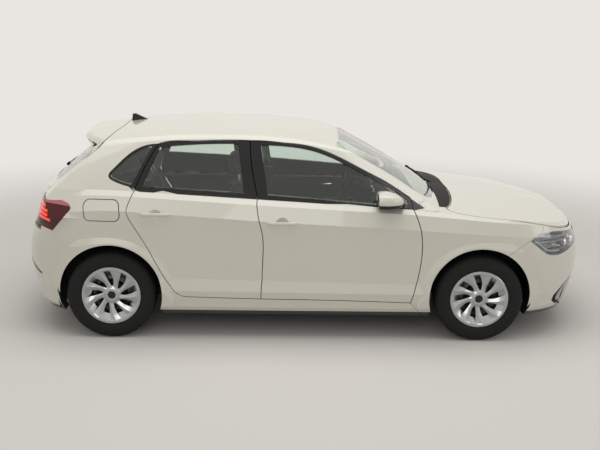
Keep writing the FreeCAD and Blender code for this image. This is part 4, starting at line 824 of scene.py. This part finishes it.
panel = nodes["tailgate"].data.copy()
panel.name = "tailgate_with_short_lip"
if "custom_normal" in panel.attributes:
    panel.attributes.remove(panel.attributes["custom_normal"])
points = vectors(panel.vertices, "co")
out_y = np.abs(points[:, 1])
limit_x = (along(REAR_LINE, points[:, 2]) + REAR_BOW * out_y ** 2
           - np.minimum(along(LIP_REACH, out_y), along(LIP_FOOT, points[:, 2])))
of_lip = within(points[:, 2], LIP_Z) & (points[:, 0] < limit_x)
points[of_lip, 0] = limit_x[of_lip]
panel.vertices.foreach_set("co", points.ravel())
panel.update()
panel.set_sharp_from_angle(angle=SHUT_LINE_ANGLE)
short_lip = linked("tailgate_panel", panel)
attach(short_lip, "tailgate")
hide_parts("tailgate")

# Seats: padded pieces with sewn seams, on bases, rails and headrest posts

# A padded piece's grid, how far a seam draws its cover in to each side, and how it swells
SOFT_STEP, SEAM_WIDTH = 0.020, 0.006
PUFF_FRAMES, PUFF_QUALITY, PUFF_PRESSURE = 20, 4, 4


def block(size, radius, step):
    """Points and quads of a closed box with rounded edges, on an even grid."""
    counts = [max(4, round(s / step)) for s in size]
    index, unit, quads = {}, [], []

    def at(key):
        if key not in index:
            index[key] = len(unit)
            unit.append([2 * a / n - 1 for a, n in zip(key, counts)])
        return index[key]

    for axis in range(3):
        u, v = (axis + 1) % 3, (axis + 2) % 3
        for side in (0, counts[axis]):
            for a in range(counts[u]):
                for b in range(counts[v]):
                    quad = []
                    for da, db in ((0, 0), (1, 0), (1, 1), (0, 1)):
                        key = [0, 0, 0]
                        key[axis], key[u], key[v] = side, a + da, b + db
                        quad.append(at(tuple(key)))
                    quads.append(quad if side else quad[::-1])
    half = np.array(size) / 2
    flat = np.array(unit) * half
    core = np.clip(flat, radius - half, half - radius)
    out = flat - core
    return core + out / np.linalg.norm(out, axis=1, keepdims=True) * radius, quads


def eased(x, low, high):
    """0 up to low, 1 from high, smooth between."""
    t = np.clip((x - low) / (high - low), 0, 1)
    return t * t * (3 - 2 * t)


def puff(obj, cap):
    """Lets a cover swell under its filling, no point by more than cap."""
    mesh = obj.data
    rest = vectors(mesh.vertices, "co")
    filling = obj.modifiers.new("filling", "CLOTH")
    filling.settings.quality = PUFF_QUALITY
    filling.settings.use_pressure = True
    filling.settings.uniform_pressure_force = PUFF_PRESSURE
    filling.settings.effector_weights.gravity = 0
    filling.point_cache.frame_start, filling.point_cache.frame_end = 1, PUFF_FRAMES
    for step in range(1, PUFF_FRAMES + 1):
        scene.frame_set(step)
    swollen = obj.evaluated_get(bpy.context.evaluated_depsgraph_get()).data
    moved = vectors(swollen.vertices, "co") - rest
    obj.modifiers.remove(filling)
    scene.frame_set(1)
    reach = np.linalg.norm(moved, axis=1, keepdims=True)
    moved *= np.minimum(1, cap / np.maximum(reach, 1e-9))
    mesh.vertices.foreach_set("co", (rest + moved).ravel())
    mesh.update()


def pad(name, size, radius, shape, seams, place, replaced, cap=0.010, panel=None):
    """A stuffed piece: a shaped block, swollen, then drawn in along its sewn seams."""
    half = np.array(size) / 2
    points, quads = block(size, radius, SOFT_STEP)
    obj = piece(name, (shape(points.copy(), half), quads), [SIDE_CLOTH, CLOTH], smooth=180)
    puff(obj, cap)
    mesh = obj.data
    pull = np.zeros(len(points))
    for distance, depth in seams(points, half):
        pull = np.maximum(pull, depth * np.exp(-(distance / SEAM_WIDTH) ** 2))
    drawn = vectors(mesh.vertices, "co") - vectors(mesh.vertices, "normal") * pull[:, None]
    mesh.vertices.foreach_set("co", drawn.ravel())
    if panel is not None:
        middle = np.array([points[list(q)].mean(0) for q in quads])
        mesh.polygons.foreach_set("material_index", panel(middle, half).astype(np.int32))
    mesh.transform(place)
    mesh.update()
    rounder = obj.modifiers.new("rounder", "SUBSURF")
    rounder.levels = rounder.render_levels = 1
    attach(obj, "body")
    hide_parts(replaced)


# The seats' shapes in metres: bolsters raised, middles hollowed, edges dropped
CUSHION_BOLSTER, CUSHION_HOLLOW, CUSHION_DROP = 0.024, 0.016, 0.040
BACK_BOLSTER, BACK_HOLLOW, BACK_LUMBAR, LUMBAR_HEIGHT, LUMBAR_SPREAD = 0.026, 0.016, 0.010, -0.45, 0.3
BENCH_HOLLOW, BENCH_DROP, HEAD_CROWN = 0.016, 0.030, 0.010
# Shares of a half size between which the plain side turns to the shaped one, and the middle to a bolster
SHAPED, BOLSTER = (-0.2, 0.8), (0.5, 0.85)


def cushion_shape(p, half):
    """Hollow between raised bolsters, with a front edge that falls away."""
    x, y, z = (p / half).T
    top = eased(z, *SHAPED)
    p[:, 2] += top * (CUSHION_BOLSTER * eased(np.abs(y), *BOLSTER) - CUSHION_HOLLOW * (1 - y ** 2)
                      - CUSHION_DROP * eased(x, 0.55, 1.0))
    p[:, 1] *= 1 - 0.06 * eased(-x, 0.2, 1.0)
    return p


def back_shape(p, half):
    """Wrapping bolsters at the sides, narrower at the shoulders, full at the small of the back."""
    x, y, z = (p / half).T
    p[:, 0] += eased(x, *SHAPED) * (
        BACK_BOLSTER * eased(np.abs(y), *BOLSTER) * eased(-z, -0.7, -0.1) - BACK_HOLLOW * (1 - y ** 2)
        + BACK_LUMBAR * np.exp(-((z - LUMBAR_HEIGHT) / LUMBAR_SPREAD) ** 2))
    p[:, 1] *= 1 - 0.20 * eased(z, 0.1, 1.0) ** 1.5
    return p


def bench_shape(p, half):
    """Two shallow seats side by side."""
    x, y, z = (p / half).T
    p[:, 2] += eased(z, *SHAPED) * (-BENCH_HOLLOW * np.sin(np.pi * np.clip(np.abs(y), 0, 1)) ** 2
                                    - BENCH_DROP * eased(x, 0.6, 1.0))
    return p


def bench_back_shape(p, half):
    """Two shallow hollows, narrower at the top."""
    x, y, z = (p / half).T
    p[:, 0] -= eased(x, *SHAPED) * BENCH_HOLLOW * np.sin(np.pi * np.clip(np.abs(y), 0, 1)) ** 2
    p[:, 1] *= 1 - 0.05 * eased(z, 0.2, 1.0)
    return p


def head_shape(p, half):
    """Crowned towards the head, narrower at the top."""
    x, y, z = (p / half).T
    p[:, 0] += HEAD_CROWN * (1 - y ** 2) * eased(x, *SHAPED)
    p[:, 1] *= 1 - 0.12 * eased(z, 0.0, 1.0)
    return p


SEAM_DEPTH, CROSS_SEAM_DEPTH, RIM_SEAM_DEPTH, RIM_SEAM_SHARE = 0.006, 0.005, 0.004, 0.45
FAR_AWAY = 1.0


def panel_seams(axis, side_share, cross_shares):
    """Seams that part a middle panel from its bolsters, and cross seams within it."""
    def seams(p, half):
        y = p[:, 1] / half[1]
        found = [(np.abs(np.abs(y) - side_share) * half[1], SEAM_DEPTH)]
        for share in cross_shares:
            line = np.abs(p[:, axis] / half[axis] - share) * half[axis]
            found.append((np.where(np.abs(y) < side_share, line, FAR_AWAY), CROSS_SEAM_DEPTH))
        return found
    return seams


def rim_seams(axis):
    """A seam round the edge, where front and side covers meet."""
    def seams(p, half):
        return [(np.abs(p[:, axis] - half[axis] * RIM_SEAM_SHARE), RIM_SEAM_DEPTH)]
    return seams


def middle_panel(axis, side_share):
    """Faces of the middle panel, on the side where one sits."""
    def panel(middle, half):
        return (np.abs(middle[:, 1] / half[1]) < side_share) & (middle[:, axis] > half[axis] * 0.5)
    return panel


def leaning(x, y, z, degrees, up, ahead):
    """Place of a leaning cushion's centre, from its foot at (x, z)."""
    return (Matrix.Translation((x, y, z)) @ Matrix.Rotation(-math.radians(degrees), 4, "Y")
            @ Matrix.Translation((ahead, 0, up)))


SEAT_Y, BENCH_HEAD_Y = 0.355, 0.370
POST_SPREAD, POST_RADIUS = 0.06, 0.006
# A seat's pan, drawn in at its ends as (x, inset), and its rails on their feet
PAN_Z, PAN_HALF_Y, PAN_HALF_Z = 0.418, 0.215, 0.020
PAN_ENDS = ((-0.300, 0.015), (-0.290, 0), (0.130, 0), (0.140, 0.015))
RAIL_Y, RAIL_Z, RAIL_X, RAIL_HALF_Y, RAIL_HALF_Z = 0.18, 0.348, (-0.320, 0.200), 0.022, 0.016
FOOT_X, FOOT_Z, FOOT_HALF_X, FOOT_HALF_Y = (-0.250, 0.100), (0.355, 0.405), 0.022, 0.010


def headrest_posts(name, path, y):
    """Two bright posts under a headrest, on a path of (x, z)."""
    posts = [tube([(x, y + dy, z) for x, z in path], POST_RADIUS) for dy in (-POST_SPREAD, POST_SPREAD)]
    piece(name, joined(posts), BRIGHT, "body")


for side, out in SIDES:
    y = out * SEAT_Y
    pad("seat_cushion_" + side, (0.505, 0.490, 0.125), 0.045, cushion_shape,
        panel_seams(0, 0.58, (-0.1, 0.55)), Matrix.Translation((-0.075, y, 0.497)), "front_seats",
        panel=middle_panel(2, 0.58))
    pad("seat_back_" + side, (0.122, 0.470, 0.560), 0.045, back_shape, panel_seams(2, 0.56, (-0.25, 0.40)),
        leaning(-0.300, y, 0.520, 14, 0.285, -0.066), "front_seats", panel=middle_panel(0, 0.56))
    pad("seat_headrest_" + side, (0.092, 0.250, 0.155), 0.038, head_shape, rim_seams(0),
        leaning(-0.520, y, 1.165, 10, 0, 0), "front_seats", cap=0.006)
    headrest_posts("headrest_posts_" + side, ((-0.495, 1.02), (-0.510, 1.09), (-0.516, 1.14)), y)
    base = [[(x, y + u, PAN_Z + v) for u, v in outline(PAN_HALF_Y - inset, PAN_HALF_Z - inset / 2, 6)]
            for x, inset in PAN_ENDS]
    piece("seat_pan_" + side, lofted(base), TRIM, "body")
    rails = []
    for dy in (-RAIL_Y, RAIL_Y):
        rails.append(lofted([[(x, y + dy + u, RAIL_Z + v)
                              for u, v in outline(RAIL_HALF_Y, RAIL_HALF_Z, 5, 16)] for x in RAIL_X]))
        for x in FOOT_X:
            rails.append(lofted([[(x + u, y + dy + v, z) for u, v in outline(FOOT_HALF_X, FOOT_HALF_Y, 5, 16)]
                                 for z in FOOT_Z]))
    piece("seat_rails_" + side, joined(rails), IRON, "body")

pad("bench_cushion", (0.455, 1.135, 0.125), 0.045, bench_shape, panel_seams(0, 0.80, (0.55,)),
    Matrix.Translation((-0.830, 0, 0.497)), "rear_seat", panel=middle_panel(2, 0.80))
for name, y, width in (("bench_back_wide", 0.228, 0.660), ("bench_back_narrow", -0.334, 0.440)):
    pad(name, (0.112, width, 0.490), 0.040, bench_back_shape, panel_seams(2, 0.74, (0.30,)),
        leaning(-1.030, y, 0.500, 16, 0.250, -0.062), "rear_seat", panel=middle_panel(0, 0.74))
for side, out in SIDES:
    pad("bench_headrest_" + side, (0.088, 0.240, 0.115), 0.034, head_shape, rim_seams(0),
        leaning(-1.272, out * BENCH_HEAD_Y, 1.050, 12, 0, 0), "rear_seat", cap=0.005)
    headrest_posts("bench_posts_" + side, ((-1.215, 0.95), (-1.245, 1.02)), out * BENCH_HEAD_Y)

# Dashboard: hood and instrument panel, centre screen, vents, gear lever and armrest

PANEL_EDGE, CONSOLE_Y = 0.002, -0.02


def panel_piece(name, middle, tilt, half_y, half_z, thickness, material=SCREEN, fullness=6):
    """A flat panel facing the seats, leaning back by tilt degrees, with rounded corners and edges."""
    turn = Matrix.Translation(middle) @ Matrix.Rotation(math.radians(tilt), 4, "Y")
    sections = [[turn @ Vector((x, u, v)) for u, v in outline(half_y - inset, half_z - inset, fullness)]
                for x, inset in ((thickness / 2, 0), (-thickness / 2 + PANEL_EDGE, 0),
                                 (-thickness / 2, PANEL_EDGE))]
    piece(name, lofted(sections), material, "body")


HOOD_ARC = ((0.365, 0.898), (0.405, 0.955), (0.470, 0.972), (0.545, 0.968), (0.620, 0.945))
HOOD_HALF_WIDTH, HOOD_DROP, HOOD_AHEAD, HOOD_TOP, HOOD_FOOT = 0.19, 0.05, 0.11, 0.015, 0.030
hood = []
for dy in (-0.19, -0.175, -0.12, 0.0, 0.12, 0.175, 0.19):
    drop = HOOD_DROP * (abs(dy) / HOOD_HALF_WIDTH) ** 4
    upper = [(x + HOOD_AHEAD, SEAT_Y + dy, z - HOOD_TOP - drop) for x, z in HOOD_ARC]
    lower = [(x + HOOD_AHEAD, SEAT_Y + dy, z - HOOD_FOOT - drop) for x, z in HOOD_ARC[::-1]]
    hood.append(upper + lower)
piece("instrument_hood", lofted(hood), TRIM, "body")
panel_piece("instrument_panel", (0.508, SEAT_Y, 0.885), 12, 0.150, 0.050, 0.012)
panel_piece("centre_screen", (0.492, CONSOLE_Y, 0.862), 10, 0.125, 0.070, 0.016)
panel_piece("climate_panel", (0.498, CONSOLE_Y, 0.745), -4, 0.120, 0.030, 0.014)
for number, y in enumerate((-0.590, -0.160, 0.120, 0.600)):
    panel_piece("air_vent_%d" % number, (0.496, y, 0.850), 8, 0.042, 0.038, 0.014, GLOSS_BLACK, 2.4)

# Height or length and share of the full outline, for each section of boot, knob and armrest
BOOT_X, BOOT_STEPS = 0.150, ((0.618, 1.0), (0.640, 0.80), (0.668, 0.40), (0.690, 0.25))
KNOB_X, KNOB_STEPS = 0.146, ((0.688, 0.4), (0.700, 0.75), (0.722, 1.0), (0.742, 0.9), (0.750, 0.5),
                             (0.752, 0.1))
REST_Z, REST_STEPS = 0.640, ((-0.148, 0.7), (-0.140, 1), (0.020, 1), (0.030, 0.7))
boot = [[(BOOT_X + u * s, v * s, z) for u, v in outline(0.050, 0.045, 3)] for z, s in BOOT_STEPS]
piece("gear_lever_boot", lofted(boot), SIDE_CLOTH, "body")
knob = [[(KNOB_X + u * s, v * s, z) for u, v in outline(0.026, 0.024, 2.4)] for z, s in KNOB_STEPS]
piece("gear_lever_knob", lofted(knob), GLOSS_BLACK, "body")
armrest = [[(x, u, REST_Z + v) for u, v in outline(0.070 * s, 0.030 * s, 4)] for x, s in REST_STEPS]
piece("console_armrest", lofted(armrest), SIDE_CLOTH, "body")

# Liners that close the rear arches behind the wheels

# Radius and wall, reach of the arc in degrees over and under the hub, and both ends across the car
LINER_RADIUS, LINER_WALL, LINER_FROM, LINER_TO, LINER_STEPS = 0.378, 0.003, 12, -17, 8
LINER_OUT, LINER_IN = 0.775, 0.46

corners = ((LINER_RADIUS, LINER_IN), (LINER_RADIUS, LINER_OUT), (LINER_RADIUS + LINER_WALL, LINER_OUT),
           (LINER_RADIUS + LINER_WALL, LINER_IN))
for side, out in SIDES:
    liner = []
    for step in range(LINER_STEPS + 1):
        angle = math.radians(180 - LINER_FROM + (LINER_FROM - LINER_TO) * step / LINER_STEPS)
        liner.append([(AXLE_X["rear"] + r * math.cos(angle), out * y, HUB_Z + r * math.sin(angle))
                      for r, y in corners])
    piece("rear_arch_liner_" + side, lofted(liner), BLACK_GRAIN, "body")

# Wedge reflectors on the rear bumper

REFLECTOR_UPPER = ((-1.985, 0.492), (-1.930, 0.474), (-1.858, 0.430))
REFLECTOR_LOWER = ((-1.985, 0.462), (-1.930, 0.444), (-1.862, 0.422))
REFLECTOR_PROUD, REFLECTOR_BACK = 0.0015, 0.004


def skin_strip(node_names, first, second, out, proud, back, across=4, along=16):
    """A thin strip over the skin between two lines of (x, z), seen from the side."""
    sections = []
    for i in range(along + 1):
        share = i / along * (len(first) - 1)
        k = min(int(share), len(first) - 2)
        ends = [Vector(line[k]).lerp(Vector(line[k + 1]), share - k) for line in (first, second)]
        front, rear = [], []
        for j in range(across + 1):
            x, z = ends[0].lerp(ends[1], j / across)
            found = [hit(name, (x, out * BESIDE_CAR, z), (0, -out, 0)) for name in node_names]
            point, normal = max((f for f in found if f[0] is not None), key=lambda f: abs(f[0].y))
            front.append(point + normal * proud)
            rear.append(point - normal * back)
        sections.append(front + rear[::-1])
    return lofted(sections)


for side, out in SIDES:
    wedge = skin_strip(["rear_bumper", "tail_lamps"], REFLECTOR_UPPER, REFLECTOR_LOWER, out, REFLECTOR_PROUD,
                       REFLECTOR_BACK)
    piece("bumper_reflector_" + side, wedge, REFLECTOR_RED, "body")

# Doors inside: armrest and bright pull

# Each armrest's rear and front end, and the middle of the pull above it
DOOR_FITTINGS = {"front": (-0.06, 0.44, 0.20), "rear": (-0.86, -0.46, -0.60)}
ARM_Z, ARM_HALF, ARM_Y = 0.655, 0.030, 0.720
# The pull's path from its middle: along the door, across the car, and up
PULL_PATH = ((-0.05, 0.732, 0.800), (-0.03, 0.712, 0.802), (0.03, 0.712, 0.804), (0.05, 0.732, 0.806))
PULL_RADIUS = 0.007

for end, (rear_x, front_x, pull_x) in DOOR_FITTINGS.items():
    for side, out in SIDES:
        place = end + "_" + side
        arm = []
        for x, share in ((rear_x, 0.5), (rear_x + 0.02, 0.9), (rear_x + 0.06, 1), (front_x - 0.06, 1),
                         (front_x - 0.02, 0.9), (front_x, 0.5)):
            arm.append([(x, out * ARM_Y + u * share, ARM_Z + v * share)
                        for u, v in outline(ARM_HALF, ARM_HALF, 4)])
        piece("armrest_" + place, lofted(arm), SIDE_CLOTH, end + "_door_" + side)
        pull = tube([(pull_x + dx, out * y, z) for dx, y, z in PULL_PATH], PULL_RADIUS)
        piece("door_pull_" + place, pull, BRIGHT, end + "_door_" + side)

# Studio

BACKDROP = "#e9e6e1"
# Reach from the car, in metres, over which the floor turns into the backdrop
FADE_FROM, FADE_TO, FLOOR_REACH = 2.6, 7.5, 40.0


def rays_to_the_eye(tree):
    """1 for rays from the camera, straight or by way of metal or glass, and 0 for rays that light."""
    rays = node(tree, "ShaderNodeLightPath")
    seen = (rays, "Is Camera Ray")
    for kind in ("Is Glossy Ray", "Is Transmission Ray"):
        seen = (node(tree, "ShaderNodeMath", {0: seen, 1: (rays, kind)}, operation="MAXIMUM"), "Value")
    return seen


def pale_floor(name, colour, roughness):
    """Matt pale studio surface that fades into the background away from the car."""
    material, tree = blank(name)
    place = node(tree, "ShaderNodeTexCoord")
    surface = node(tree, "ShaderNodeBsdfPrincipled", {"Base Color": linear(colour), "Roughness": roughness,
                                                      "Specular IOR Level": 0.1})
    away = node(tree, "ShaderNodeVectorMath", {0: (place, "Object")}, operation="LENGTH")
    fade = node(tree, "ShaderNodeMapRange", {"Value": (away, "Value"), "From Min": FADE_FROM,
                                             "From Max": FADE_TO}, interpolation_type="SMOOTHSTEP")
    share = node(tree, "ShaderNodeMath", {0: (fade, "Result"), 1: rays_to_the_eye(tree)},
                 operation="MULTIPLY")
    backdrop = node(tree, "ShaderNodeEmission", {"Color": linear(BACKDROP), "Strength": 1.0})
    seen = node(tree, "ShaderNodeMixShader", {"Fac": (share, "Value"), 1: (surface, "BSDF"),
                                              2: (backdrop, "Emission")})
    node(tree, "ShaderNodeOutputMaterial", {"Surface": (seen, "Shader")})
    return material


floor_mesh = bpy.data.meshes.new("studio_floor")
corners = ((-1, -1), (1, -1), (1, 1), (-1, 1))
floor_mesh.from_pydata([(FLOOR_REACH * x, FLOOR_REACH * y, 0) for x, y in corners], [], [(0, 1, 2, 3)])
floor_mesh.materials.append(pale_floor("pale_studio_floor", "#d3d0cb", 0.8))
linked("studio_floor", floor_mesh)

scene.world = bpy.data.worlds.new("studio")
scene.world.use_nodes = True
tree = scene.world.node_tree
tree.nodes.clear()
soft = node(tree, "ShaderNodeBackground", {"Color": linear("#f4f3f0"), "Strength": 0.60})
white = node(tree, "ShaderNodeBackground", {"Color": linear(BACKDROP), "Strength": 1.0})
seen = node(tree, "ShaderNodeMixShader", {"Fac": rays_to_the_eye(tree), 1: (soft, "Background"),
                                          2: (white, "Background")})
node(tree, "ShaderNodeOutputWorld", {"Surface": (seen, "Shader")})


def soft_box(name, place, target, size, power):
    """A rectangular lamp that looks at a point."""
    light = bpy.data.lights.new(name, "AREA")
    light.shape = "RECTANGLE"
    light.size, light.size_y = size
    light.energy = power
    obj = linked(name, light)
    obj.location = place
    obj.rotation_mode = "QUATERNION"
    obj.rotation_quaternion = (Vector(target) - Vector(place)).to_track_quat("-Z", "Y")


soft_box("ceiling_soft_box", (0, -0.5, 5.0), (0, 0, 0.7), (7, 4), 150)
soft_box("side_soft_box", (-1.5, -7.5, 3.6), (0, 0, 0.8), (5, 2.5), 60)
soft_box("nose_soft_box", (7, -3, 3.0), (0.5, 0, 0.8), (3, 2.5), 40)

# The photograph's camera, fitted to the car's known sizes
CAMERA_PLACE = Vector((-0.1965, -6.7305, 2.3028))
YAW, PITCH, ROLL = 0.0224, 0.2454, 0.0169
FOCAL_PIXELS, PICTURE_WIDTH, SENSOR_MM = 894.39, 600, 36.0
ahead = Vector((math.sin(YAW) * math.cos(PITCH), math.cos(YAW) * math.cos(PITCH), -math.sin(PITCH)))
level = Vector((math.cos(YAW), -math.sin(YAW), 0))
upward = level.cross(ahead)
across = level * math.cos(ROLL) + upward * math.sin(ROLL)
upward = upward * math.cos(ROLL) - level * math.sin(ROLL)
lens = bpy.data.cameras.new("studio_camera")
lens.sensor_width = SENSOR_MM
lens.lens = FOCAL_PIXELS / PICTURE_WIDTH * SENSOR_MM
scene.camera = linked("studio_camera", lens)
facing = Matrix((across, upward, -ahead)).transposed().to_4x4()
scene.camera.matrix_world = Matrix.Translation(CAMERA_PLACE) @ facing

scene.view_settings.view_transform = "Standard"
